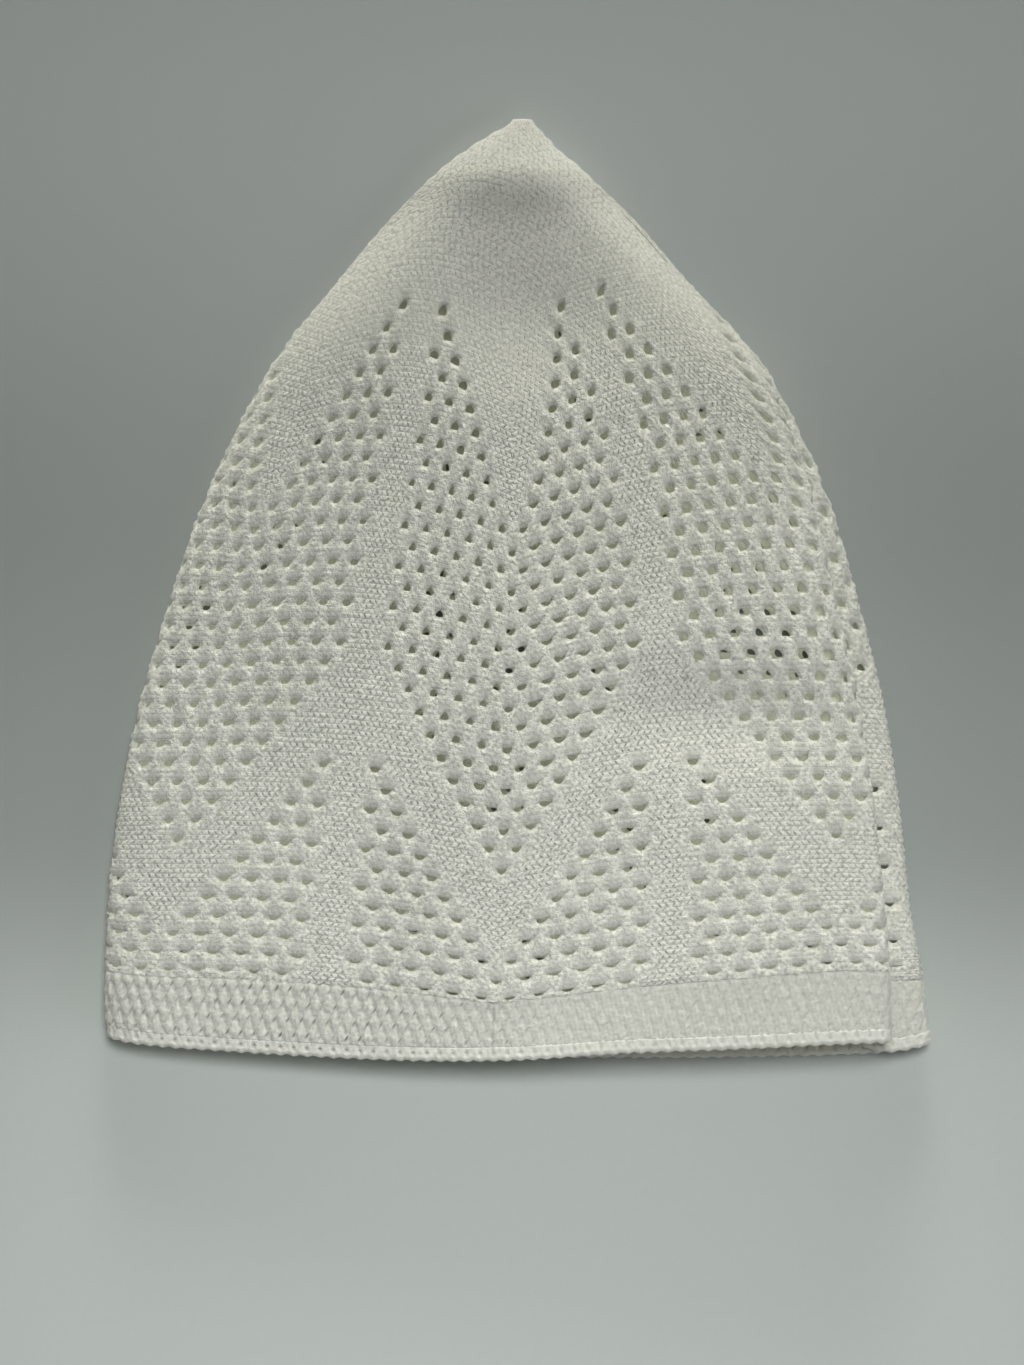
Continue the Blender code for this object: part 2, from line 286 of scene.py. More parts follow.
# Stitches underneath are pressed in by the cap's own weight.
PRESSED = 0.0004

# The band: its mesh, how far it reaches over its neighbours, its relief, which fades out towards the
# right, and its top edge, which dips under the crown's.
BAND_STEPS = 8
BAND_LEVELS = 41
BAND_OVER_CROWN = 0.0005
BAND_OVER_CHAIN = 0.0004
BAND_RELIEF = 0.00070
BAND_SUNK = 0.00040
BAND_UNEVEN = 0.00007
BAND_FLAT = 0.62
BAND_FLAT_ACROSS = (-0.055, 0.015)
BAND_EDGE = 0.0006
BAND_EDGE_FROM = 0.92
BAND_EDGE_POWER = 1.5
BAND_SEED = 40
# The outline of a band stitch, from a lozenge at 1 to an ellipse at 2, the groove round it, its height
# in the middle, and how far it falls off from there.
STITCH_POWER = 1.65
GROOVE_WIDTH = 0.5
GROOVE_POWER = 1.2
STITCH_TOP = 1.15
STITCH_FALL = 0.4

# The chain: its mesh, its rounded square section, and in each link a groove with a pit. Reliefs are
# shares of half its size, but for the groove and the pit.
CHAIN_STEPS = 10
CHAIN_SIDES = 20
CHAIN_POWER = 0.8
CHAIN_UNEVEN = 0.05
CHAIN_GROOVE = 0.00035
CHAIN_PIT = 0.00095
CHAIN_GROOVE_AT = 0.05
CHAIN_GROOVE_HEIGHT = 0.20
PIT_POWER = 4
LOWER_PUFF = 0.10
UPPER_PUFF = 0.04
LINK_DROP = 0.24
LINK_SIZE = 0.02
CHAIN_RAISED = 0.13
# Painted shade: how much of the groove between the strands is coloured darker, beside the pit.
GROOVE_SHADE_SHARE = 0.2
CHAIN_SEED = 80

# Soft hollows of the front layer: where they lie across and up, their reach both ways and their
# depth, in millimetres. The last one is a swelling.
HOLLOWS = (
    (2.0, 211.0, 28.0, 22.0, 5.0),
    (-2.0, 160.0, 38.0, 36.0, 3.0),
    (60.0, 96.0, 32.0, 13.0, 3.4),
    (-82.0, 85.0, 18.0, 20.0, 1.2),
    (3.0, 248.0, 14.0, 7.0, -0.7),
)

# The upper edges of the front layer fall off towards the outline, less so where the cap is narrow.
EDGE_DROP = 0.0034
EDGE_WIDTH = 0.015
EDGE_SPAN = 0.060
EDGE_POWER = 1.5
EDGE_HEIGHTS = (0.110, 0.190)
# What counts as the front layer, by its share of the cap's thickness.
FRONT_SHARES = (0.35, 0.85)
# The cloth gets thinner where it closes at the tip.
THIN_FROM = 0.248
THIN_FULL = 0.266
THIN_SHARE = 0.25

# The yarn's looks. Noise: turns for a metre, detail and roughness.
FUZZ = (2600.0, 3.0, 0.6)
CLUMPS = (900.0, 2.0, 0.5)
WANDER = (22.0, 2.0, 0.5)
STRAND_FUZZ = (2400.0, 3.0, 0.6)
STRAND_CLUMPS = (800.0, 2.0, 0.5)
STRAND_WANDER = (25.0, 2.0, 0.5)
PAPER_FIBRES = (420.0, 3.0, 0.6)
# Bump heights in metres.
FUZZ_BUMP = 0.00012
PILLOW_BUMP = 0.00012
LACE_PILLOW_BUMP = 0.00006
TIP_PILLOW_BUMP = 0.00004
CLUMP_BUMP = 0.0003
TICK_BUMP = 0.00015
STRAND_TICK_BUMP = 0.0002
PLY_BUMP = 0.00010
PAPER_BUMP = 0.00002
# The grains of the fine knit, in stitches and courses: their lean, how square they are, and the dark
# tick between two of them.
GRAIN_LEAN = 0.45
GRAIN_POWER = 2.6
TICK_WIDTH = 0.17
TICK_HEIGHT = 0.32
STRAND_TICK_WIDTH = 0.11
STRAND_TICK_HEIGHT = 0.24
STRAND_TICK_LOW = 0.06
PLY_LEAN = 0.7
# How much the fine knit's dark ticks lose in the lace, high up and towards the right, how dark they
# are on the left, the least of them, and what sets the two sides of a leaf apart in their chance.
TICK_LOSS_LACE = 0.85
TICK_LOSS_HIGH = 0.6
TICK_LOSS_RIGHT = 0.85
TICK_LEFT = 1.1
TICK_LEAST = 0.25
TICK_SIDES = 50.0
# How much less rough the tone is in a scoop and high up, and how much more at the tip.
SMOOTH_SCOOP = 0.75
SMOOTH_HIGH = 0.5
ROUGH_TIP = 0.3
# The fine knit's tone: its middle, and the shares of what changes it.
TONE = 0.62
CLUMP_TONE = 2.4
PILLOW_TONE, PILLOW_MIDDLE = 0.5, 0.55
TIP_PILLOW_TONE, TIP_PILLOW_MIDDLE = 0.18, 0.45
TIP_FUZZ_TONE = 1.4
# Painted shade: the scoop over each eyelet is coloured darker.
SCOOP_SHADE = 0.16
WANDER_TONE = 0.4
# Painted highlight: the knit at the tip is coloured lighter.
TIP_HIGHLIGHT = 0.28
# Painted shade: the inner face of the cloth tucked in at the old fold is coloured darker.
TUCKED_SHADE = 0.5
# The same for the thicker stitches.
STRAND_TICK_LEAST = 0.3
STRAND_SOFT = 0.75
STRAND_SMOOTH = 0.4
STRAND_CLUMP_TONE = 1.3
STRAND_WANDER_TONE = 0.3
PLY_TONE = 0.12
PAPER_TONE = 0.12
# Painted glow that stands in for light coming through: inside the cap, more of it low down and on the
# right, less in the tucked cloth, and in the left fold.
LIGHT_INSIDE = 0.25
LIGHT_LOW = 0.40
LIGHT_RIGHT = 0.5
LIGHT_LOSS_TUCKED = 0.8
LIGHT_FOLD = 0.8
# Sockets of a Mix node for colours.
MIX_FIRST, MIX_SECOND, MIXED = 6, 7, 2
# Between which courses the knit gets softer towards the tip.
HIGH_KNIT = (108.0, 136.0)
TIP_KNIT = (128.0, 150.0)
# Where the look changes, in metres: across, up from the middle, and above the floor.
SOFT_ACROSS = (0.040, 0.110)
BAND_CRISP_ACROSS = (-0.135, -0.085)
BAND_SOFT_ACROSS = (-0.050, 0.025)
RIGHT_ACROSS = (-0.01, 0.08)
LOW_UP = (-0.120, -0.030)
TUCKED_ACROSS = (0.094, 0.099)
TUCKED_ABOVE = (0.012, 0.016)
FOLD_ACROSS = (-0.070, -0.030)
FOLD_ABOVE = (0.004, 0.013)
BACK_UP = (0.0, 0.17)

# The stage, in metres: lights by their place, their target, their width and their spread in degrees.
MAIN_LIGHT = ((0.07, 0.10, 1.10), (-0.02, -0.32, 0), 0.36, 50)
EDGE_LIGHT = ((0.02, 2.00, 0.38), (0, 0, 0), 0.80, 180)
SIDE_LIGHT = ((1.00, -0.60, 0.75), (0, -0.05, 0), 0.50, 180)
EDGE_COLOUR = (1.0, 0.99, 0.88)
SKY_COLOUR = (0.97, 1.0, 0.98)
FLOOR_SIZE = 4.0
LOOK_AT = (-0.001, -0.0286, 0.012)
SENSOR_WIDTH = 36.0

# The mesh: steps for a stitch and for a course.
ACROSS = 3
UPWARD = 2
# The table of the surface: steps for a repeat, rise of a row, and samples for a knot of the loop.
TABLE_STEPS = 192
TABLE_RISE = 0.001
LOOP_SAMPLES = 40
# Steps to each side of a point that give its normal, kept clear of the very tip, and what keeps a
# division and a rounding up safe.
SIDE_STEP = 0.004
UP_STEP = 0.0008
TIP_GAP = 1e-5
TINY = 1e-12
SLACK = 1e-6


def column(rows, columns, name):
    unit = 1.0 if name in ("fold", "course") else MM
    return np.array([row[columns.index(name)] for row in rows]) * unit


def smooth_through(xs, ys, at):
    """A curve through the rows of a table that never swings past them."""
    step = np.diff(xs)
    slope = np.diff(ys) / step
    tangent = np.zeros(len(xs))
    tangent[0] = slope[0]
    tangent[-1] = slope[-1]
    for i in range(1, len(xs) - 1):
        if slope[i - 1] * slope[i] > 0:
            w0 = 2 * step[i] + step[i - 1]
            w1 = step[i] + 2 * step[i - 1]
            tangent[i] = (w0 + w1) / (w0 / slope[i - 1] + w1 / slope[i])
    at = np.clip(at, xs[0], xs[-1])
    i = np.clip(np.searchsorted(xs, at, side="right") - 1, 0, len(xs) - 2)
    t = (at - xs[i]) / step[i]
    return (
        (2 * t**3 - 3 * t**2 + 1) * ys[i]
        + (t**3 - 2 * t**2 + t) * step[i] * tangent[i]
        + (3 * t**2 - 2 * t**3) * ys[i + 1]
        + (t**3 - t**2) * step[i] * tangent[i + 1]
    )


def ease(low, high, at):
    """0 below the first value, 1 above the second, and smooth between them."""
    share = np.clip((at - low) / (high - low), 0, 1)
    return share * share * (3 - 2 * share)


def read_table(rows, columns, at):
    """All columns of a table, at a place between its rows."""
    places = column(rows, columns, columns[0])
    return {
        name: float(smooth_through(places, column(rows, columns, name), at)) for name in columns
    }


def section_at(up):
    return read_table(SECTIONS, COLUMNS, up)


def arc(middle, half, start, stop, count, power=1.0):
    angles = np.radians(np.linspace(start, stop, count))
    across = np.sign(np.cos(angles)) * np.abs(np.cos(angles)) ** power
    height = np.sign(np.sin(angles)) * np.abs(np.sin(angles)) ** power
    return np.column_stack((middle[0] + half[0] * across, middle[1] + half[1] * height))


def levels_at(up):
    s = section_at(up)
    s["width"] = s["right"] - s["left"]
    s["front"] = s["edge"] - s["left"]
    s["near"] = min(NEAR, NEAR_SHARE * s["width"])
    s["hook"] = min(HOOK, HOOK_SHARE * s["width"])
    s["under"] = s["lip"] + UNDER_SHARE * (s["strip"] - s["lip"])
    s["deep"] = s["edge"] - s["tuck"] - DEEP_HOOKS * s["hook"]
    return s


def placed(s, rows):
    points = []
    for row in rows:
        knot = dict(zip(KNOT_COLUMNS, row))
        level = s[knot["level"]]
        height = level + knot["share"] * (s[knot["next_level"]] - level)
        points.append((s[knot["anchor"]] + knot["number"] * s[knot["unit"]], height))
    return np.array(points)


def knots(s):
    """The loop's control points, from the left fold over the front layer and back underneath."""
    half = 0.5 * (s["lip"] - s["base"])
    centre = (s["right"] - half, s["base"] + half)
    plain_fold = arc(centre, (half, half), PLAIN_FOLD_FROM, PLAIN_FOLD_TO, len(OLD_FOLD))
    right_end = plain_fold + s["fold"] * (placed(s, OLD_FOLD) - plain_fold)
    folded = np.vstack(
        (placed(s, LEFT_FOLD), placed(s, FRONT_LAYER), right_end, placed(s, BACK_LAYER))
    )
    half = 0.5 * (s["crest"] - s["base"])
    centre = (0.5 * (s["left"] + s["right"]), s["base"] + half)
    last = ROUND_START - 360 + 360 / len(folded)
    pointed = arc(centre, (0.5 * s["width"], half), ROUND_START, last, len(folded), ROUND_POWER)
    return folded + ease(ROUND_FROM, ROUND_FULL, s["up"]) * (pointed - folded)


def loop_at(up, samples):
    """One closed cross-section as rows of x, y, z, from the left fold on."""
    s = levels_at(up)
    fade = max(0.0, 1.0 - up / RIM_FADE) ** 2
    rim = KNOT_COLUMNS.index("rim")
    sides = [row[rim] for row in LEFT_FOLD + FRONT_LAYER + OLD_FOLD + BACK_LAYER]
    control = np.array(
        [
            (x, fade * read_table(RIM_LINE, RIM_COLUMNS, x)[side], z)
            for (x, z), side in zip(knots(s), sides)
        ]
    )
    count = len(control)
    at = (LOOP_START + np.arange(count * samples + 1) / samples) % count
    i = at.astype(int)
    t = (at - i)[:, None]
    before, start, end, after = (control[(i + k) % count] for k in (-1, 0, 1, 2))
    points = (
        (1 - t) ** 3 * before
        + (3 * t**3 - 6 * t**2 + 4) * start
        + (-3 * t**3 + 3 * t**2 + 3 * t + 1) * end
        + t**3 * after
    ) / 6
    low, high = points[:, 0].min(), points[:, 0].max()
    points[:, 0] = s["left"] + (points[:, 0] - low) * (s["right"] - s["left"]) / (high - low)
    points[:, 1] += up - CAP_HEIGHT / 2
    return points


def repeats_round(up, points):
    """The repeat that each point of a loop belongs to, from the left fold on."""
    length = np.concatenate(([0], np.cumsum(np.linalg.norm(np.diff(points, axis=0), axis=1))))
    _, strip, repeat, right = read_table(REPEAT_ROWS, REPEAT_COLUMNS, up).values()
    even = length[-1] / REPEATS
    share = float(ease(EVEN_FROM, EVEN_FULL, up))
    repeat += share * (even - repeat)
    right += share * (even - right)
    front_end = int((FRONT_END - LOOP_START) * LOOP_SAMPLES)
    centre = (1 - share) * (strip + 0.5 * repeat)
    at_centre = np.interp(centre, points[:front_end, 0], length[:front_end])
    left = -at_centre / repeat
    front = left + length / repeat
    front = np.where(front > 0.5, 0.5 + (front - 0.5) * repeat / right, front)
    tuck_end = int((TUCK_END - LOOP_START) * LOOP_SAMPLES)
    start, tucked, last = length[[front_end, tuck_end, -1]]
    end = front[front_end]
    rest = left + REPEATS - end
    short = TUCK_SHORT * (1 - ease(*TUCK_HEIGHTS, up)) * section_at(up)["fold"]
    tuck = end + rest * (tucked - start) / (last - start) - short
    beyond = np.interp(length, (start, tucked, last), (end, tuck, end + rest))
    return np.where(np.arange(len(length)) <= front_end, front, beyond)


class Cloth:
    """The cap's outer surface as a table over height and over the place round the cap."""

    def __init__(self):
        self.top = SECTIONS[-1][0] * MM
        self.ups = np.append(np.arange(0, self.top, TABLE_RISE), self.top)
        round_steps = np.arange(REPEATS * TABLE_STEPS + 1) / TABLE_STEPS
        rows = []
        for up in self.ups:
            points = loop_at(up, LOOP_SAMPLES)
            repeat = repeats_round(up, points)
            at = repeat[0] + (round_steps - repeat[0]) % REPEATS
            rows.append([np.interp(at, repeat, points[:, k]) for k in range(3)])
        self.points = np.transpose(np.array(rows), (0, 2, 1))
        self.soften()
        self.tip = self.points[-1, :-1].mean(axis=0) + (0, CAP_HEIGHT - self.top, 0)

    def soften(self):
        """Presses the hollows into the front layer, and lets its upper edges fall off."""
        x, z = self.points[..., 0], self.points[..., 2]
        height = z - z.min(axis=1, keepdims=True)
        front = ease(*FRONT_SHARES, height / height.max(axis=1, keepdims=True))
        for across, up, wide, tall, depth in np.array(HOLLOWS) * MM:
            off = ((x - across) / wide) ** 2 + ((self.ups[:, None] - up) / tall) ** 2
            z -= front * depth * np.exp(-off)
        left, right = x.min(axis=1), x.max(axis=1)
        drop = EDGE_DROP * ease(*EDGE_HEIGHTS, self.ups)
        drop = drop * np.clip((right - left) / EDGE_SPAN, 0, 1) ** EDGE_POWER
        for edge in (left, right):
            steep = np.hypot(1, np.gradient(edge, self.ups))
            inward = np.abs(x - edge[:, None]) / steep[:, None]
            z -= front * drop[:, None] * np.clip(1 - inward / EDGE_WIDTH, 0, 1) ** 2

    def read(self, repeat, up):
        row = np.interp(up, self.ups, np.arange(len(self.ups)))
        place = (repeat % REPEATS) * TABLE_STEPS
        r = np.minimum(row.astype(int), len(self.ups) - 2)
        c = np.minimum(place.astype(int), REPEATS * TABLE_STEPS - 1)
        fr = (row - r)[..., None]
        fc = (place - c)[..., None]
        low = self.points[r, c] * (1 - fc) + self.points[r, c + 1] * fc
        high = self.points[r + 1, c] * (1 - fc) + self.points[r + 1, c + 1] * fc
        return low * (1 - fr) + high * fr

    def at(self, repeat, up):
        """Points of the surface. Above the last section the cloth closes in a small dome."""
        flat = self.read(repeat, up)
        over = np.clip((up - self.top) / (CAP_HEIGHT - self.top), 0, 1)[..., None]
        dome = np.sqrt(1 - over**2)
        centre = self.tip - (0, CAP_HEIGHT - self.top, 0)
        domed = centre + dome * (flat - centre)
        domed[..., 1] += over[..., 0] * (CAP_HEIGHT - self.top)
        return domed

    def outward(self, repeat, up):
        """Unit normals, from points a little to each side."""
        along = self.at(repeat + SIDE_STEP, up) - self.at(repeat - SIDE_STEP, up)
        over = np.minimum(up + UP_STEP, CAP_HEIGHT - TIP_GAP)
        upward = self.at(repeat, over) - self.at(repeat, over - 2 * UP_STEP)
        normal = np.cross(along, upward)
        length = np.linalg.norm(normal, axis=-1, keepdims=True)
        return normal / np.maximum(length, TINY)


CLOTH = Cloth()


def half_width(course):
    courses, widths = np.array(NARROWING).T
    return np.where(course < courses[0], widths[0], np.interp(course, courses, widths))


def sags(course):
    """Sag of a course at each strip and middle line, round the cap from the centre leaf on."""
    courses = column(SAG_ROWS, SAG_COLUMNS, "course")
    left_leaf, left_strip, centre, right_strip, right_leaf = (
        np.interp(course, courses, column(SAG_ROWS, SAG_COLUMNS, name)) for name in SAG_COLUMNS[1:]
    )
    strip, leaf = (np.full(course.shape, sag * MM) for sag in SAG_BEHIND)
    behind = [strip, leaf] * (REPEATS - 3)
    return np.stack((centre, right_strip, right_leaf, *behind, strip, left_leaf, left_strip))


def course_height(course, repeat):
    """Height of a course above the rim: it turns at the leaves' middle lines, not at the strips."""
    lines = sags(course)
    place = 2 * repeat
    strip = 2 * np.floor(repeat).astype(int) + 1
    towards = np.where(place > strip, 1, -1)
    share = np.abs(place - strip)

    def sag(number):
        return np.take_along_axis(lines, (number % len(lines))[None], axis=0)[0]

    slope = 0.5 * towards * (sag(strip + 1) - sag(strip - 1))
    hang = sag(strip) + slope * share + (sag(strip + towards) - sag(strip) - slope) * share**2
    seam = SAG_AT_SEAM + (1 - SAG_AT_SEAM) * ease(FIRST_COURSE, 0.0, course)
    near_tip = np.clip((LAST_COURSE - course) / SAG_FADE, 0, 1)
    straight = COURSE_START + COURSE_RISE * course + COURSE_GROWTH * course**2
    place = repeat % REPEATS
    behind = ease(*DROP_COMES, place) * (1 - ease(*DROP_GOES, place))
    drop = DROP * behind * ease(FIRST_COURSE, DROP_FULL, course) * (1 - ease(*DROP_FADES, course))
    return straight + hang * seam * near_tip - drop


def on_cloth(leaf, across, course):
    """Repeat, height and stitches from the strip, for stitches counted over one leaf's width."""
    width = half_width(course)
    right = across > HALF
    off = np.minimum(np.where(right, STITCHES - across, across), width)
    share = off / width
    repeat = np.where(right, leaf + 0.5 - 0.5 * share, leaf - 0.5 + 0.5 * share)
    return repeat, course_height(course, repeat), off


def has_eyelet(row, off):
    tent = 0 <= row <= TENT_TOP and FIRST_EYELET <= off <= FIRST_EYELET + 2 * (TENT_TOP - row)
    foot = max(FIRST_EYELET, HALF - 2 * (row - LEAF_FOOT))
    notch = HALF - 2 * (row - LEAF_NOTCH)
    leaf = row >= LEAF_FOOT and foot <= off <= notch and row <= LEAF_TOP
    return tent or leaf


def eyelets():
    """Eyelets over one leaf's width, as stitches across and courses up, in a staggered lattice."""
    found = []
    for row in range(LEAF_TOP + 1):
        course = row * EYELET_COURSES
        width = float(half_width(course))
        first = FIRST_EYELET + (0 if row % 2 else EYELET_STITCHES // 2)
        for off in range(first, HALF + 1, EYELET_STITCHES):
            if not has_eyelet(row, off):
                continue
            if off == HALF:
                found.append((off, course))
            elif off <= width - EYELET_GAP:
                found += [(off, course), (STITCHES - off, course)]
    return found


def eyelet_outline(across, course, moon, bell):
    """Bends the edge of a square hole, from -1 to 1 both ways, into the eyelet's shape."""
    x = ROUNDED * across * np.sqrt(1 - 0.5 * course**2) + SQUARE * across
    y = ROUNDED * course * np.sqrt(1 - 0.5 * across**2) + SQUARE * course
    tall_x = x * (DROP_FOOT - DROP_TAPER * (y + 1) + bell * (BELL_TAPER * (y + 1) - BELL_FOOT))
    tall_y = np.maximum(y, DROP_FLAT)
    wide_x = x * (MOON_FOOT + MOON_SPREAD * (y + 1))
    wide_y = np.minimum(y, MOON_FLAT) + MOON_SAG * (x**2 - 0.5)
    return tall_x + moon * (wide_x - tall_x), tall_y + moon * (wide_y - tall_y)


def eyelet_kind(place, course):
    """How far an eyelet is a half-moon with its point down, and how far a round bell.

    With neither it is a small teardrop with its point up.
    """
    low = 1 - ease(*LOW_COURSES, course)
    high = ease(*HIGH_COURSES, course)
    left_leaf = ease(*LEFT_LEAF, place)
    right_leaf = ease(*RIGHT_LEAF, place)
    right_half = ease(*RIGHT_HALF, place) * (1 - right_leaf) * (1 - MOON_LOSS_HIGH * high)
    moon = max(low, right_half, MOON_LEFT * left_leaf * (1 - high))
    return float(moon), float(max(high, right_leaf, left_leaf) * (1 - moon))


def eyelet_size(place, course, moon, bell, options, draw):
    """Half an eyelet's size, in stitches and courses: tighter behind, at the foot and on the left."""
    wide, tall = (
        (size[0] + size[1] * moon + size[2] * bell) * options.eyelet_size * draw.uniform(*spread)
        for size, spread in ((ACROSS_SIZE, ACROSS_SPREAD), (UP_SIZE, UP_SPREAD))
    )
    tall *= FOOT_SIZE + (1 - FOOT_SIZE) * float(ease(*FOOT_COURSES, course))
    left_or_low = max(ease(*LEFT_LEAF, place), 1 - ease(*TIGHT_COURSES, course))
    tighter = 1 - TIGHTER_BEHIND * float(ease(*BEHIND, abs(place))) - TIGHTER_LEFT * left_or_low
    return wide, tall, tighter


def crown_grid(leaf, options, draw):
    """Stitch places, relief and holes of one leaf's width of the crown."""
    columns = np.arange(STITCHES * ACROSS + 1) / ACROSS
    courses = np.arange(FIRST_COURSE * UPWARD, LAST_COURSE * UPWARD + 1) / UPWARD
    across, course = np.meshgrid(columns, courses)
    relief = np.zeros(across.shape)
    fan = np.zeros(across.shape)
    lace = np.zeros(across.shape)
    open_cells = np.zeros((len(courses) - 1, len(columns) - 1), bool)
    moved_across, moved_course = across.copy(), course.copy()
    for hole_across, hole_course in eyelets():
        place = leaf - 0.5 + hole_across / STITCHES
        moon, bell = eyelet_kind(place, hole_course)
        near_line = abs(hole_across - HALF) <= 2
        reach = 2 if near_line else 2 + round(2 * moon + bell)
        rise = 2
        i = round(hole_across * ACROSS)
        j = round((hole_course - FIRST_COURSE) * UPWARD)
        open_cells[j - rise : j + rise, i - reach : i + reach] = True
        wide, tall, tighter = eyelet_size(place, hole_course, moon, bell, options, draw)
        wide = min(wide, (reach + WIDEST_OVER) / ACROSS) * tighter
        tall *= tighter
        turn = draw.uniform(-TURN_SPREAD, TURN_SPREAD)
        ring = (slice(j - rise, j + rise + 1), slice(i - reach, i + reach + 1))
        x = (across[ring] - hole_across) * ACROSS / reach
        y = (course[ring] - hole_course) * UPWARD / rise
        x, y = eyelet_outline(x, y, moon, bell)
        moved_across[ring] = hole_across + wide * (x - turn * y)
        moved_course[ring] = hole_course + tall * (y + turn * x)
        window = (
            slice(max(j - WINDOW_DOWN, 0), j + WINDOW_UP),
            slice(max(i - WINDOW_SIDE, 0), i + WINDOW_SIDE + 1),
        )
        a = moved_across[window] - hole_across
        b = moved_course[window] - hole_course
        scoop = np.exp(-((np.abs(a) / (SCOOP_WIDTH + SCOOP_FOR_MOON * moon)) ** 3))
        scoop = scoop * ease(*SCOOP_STARTS, b) * (1 - ease(*SCOOP_ENDS, b))
        lip = np.exp(-((a / LIP_WIDTH) ** 2) - ((b + LIP_BELOW) / LIP_HEIGHT) ** 2)
        deep = float(ease(*DEEP_COURSES, hole_course))
        depth = EYELET_RELIEF * (EYELET_RELIEF_LOW + (1 - EYELET_RELIEF_LOW) * deep)
        relief[window] += (EYELET_RELIEF * lip - depth * scoop) * options.relief
        fan[window] = np.maximum(fan[window], scoop)
        near = 1 - ease(*LACE_REACH, np.hypot(a, LACE_FLAT * b))
        lace[window] = np.maximum(lace[window], near)
    return moved_across, moved_course, relief, fan, lace, open_cells


def stitch_relief(off, course, lace, options, draw):
    """Raised stitches of the plain knit, ridges of the lace and a little unevenness."""
    bricks = np.cos(2 * math.pi * (off + 0.5 * (np.floor(course) % 2)))
    rows = np.sin(math.pi * (course % 1.0))
    plain = PLAIN_RELIEF * bricks * rows * (1 - SMOOTH_LOSS * ease(*SMOOTH_COURSES, course))
    lattice = np.cos(math.pi * off / 2) * np.cos(math.pi * course / 4)
    ridges = RIDGE_RELIEF * lattice * lace
    uneven = (UNEVEN + UNEVEN * lace) * draw.standard_normal(off.shape)
    uneven[:, [0, -1]] = 0
    return (plain + ridges + uneven) * options.relief


def quads_over(index):
    """A quad for each cell of a grid of vertex numbers."""
    return np.stack((index[:-1, :-1], index[:-1, 1:], index[1:, 1:], index[1:, :-1]), axis=-1)


def joined_faces(index, open_cells):
    """Quads over a grid of vertex numbers, leaving out open cells and what has closed up."""
    quads = quads_over(index)[~open_cells]
    first, second, third, fourth = quads.T
    low_shut = first == second
    high_shut = third == fourth
    whole = quads[~low_shut & ~high_shut & (first != fourth) & (second != third)]
    high_only = quads[low_shut & ~high_shut][:, [0, 2, 3]]
    low_only = quads[high_shut & ~low_shut][:, [0, 1, 2]]
    return whole, np.vstack((high_only, low_only))


def hole_walls(index, open_cells, offset):
    """Quads that join the outer face to the inner one round every open cell."""
    padded = np.pad(open_cells, 1)
    walls = []
    shut = ~padded[1:-1, 1:-1]
    for shift, start, stop in (
        ((-1, 0), (0, 0), (0, 1)), ((1, 0), (1, 1), (1, 0)),
        ((0, -1), (1, 0), (0, 0)), ((0, 1), (0, 1), (1, 1)),
    ):
        beside = padded[1 + shift[0] : padded.shape[0] - 1 + shift[0],
                        1 + shift[1] : padded.shape[1] - 1 + shift[1]]
        rows, columns = np.nonzero(shut & beside)
        low = index[rows + start[0], columns + start[1]]
        high = index[rows + stop[0], columns + stop[1]]
        walls.append(np.column_stack((high, low, low + offset, high + offset)))
    return np.vstack(walls)


def add_piece(name, points, faces, material, fields, creased=None):
    """One mesh object with the given fields on its points. Edges between creased points are sharp."""
    used = np.unique(np.concatenate([part.ravel() for part in faces]))
    number = np.full(len(points), -1)
    number[used] = np.arange(len(used))
    polygons = [row for part in faces for row in number[part].tolist()]
    data = bpy.data.meshes.new(name)
    data.from_pydata(points[used].tolist(), [], polygons)
    for field, values in fields.items():
        values = values[used]
        kind = "FLOAT" if values.ndim == 1 else "FLOAT_VECTOR"
        stored = data.attributes.new(field, kind, "POINT")
        stored.data.foreach_set("value" if values.ndim == 1 else "vector", values.ravel())
    data.materials.append(material)
    data.shade_smooth()
    data.update()
    if creased is not None:
        ends = np.empty(len(data.edges) * 2, int)
        data.edges.foreach_get("vertices", ends)
        both = creased[used][ends.reshape(-1, 2)].all(axis=1)
        data.attributes.new("sharp_edge", "BOOLEAN", "EDGE").data.foreach_set("value", both)
    piece = bpy.data.objects.new(name, data)
    bpy.context.scene.collection.objects.link(piece)
    return piece


def lifted(points, normals, height):
    """Points moved out along the surface. Underneath, the stitches are pressed in, not out."""
    under = PRESSED * np.clip(-normals[..., 2], 0, 1)
    return points + normals * (height - under)[..., None]


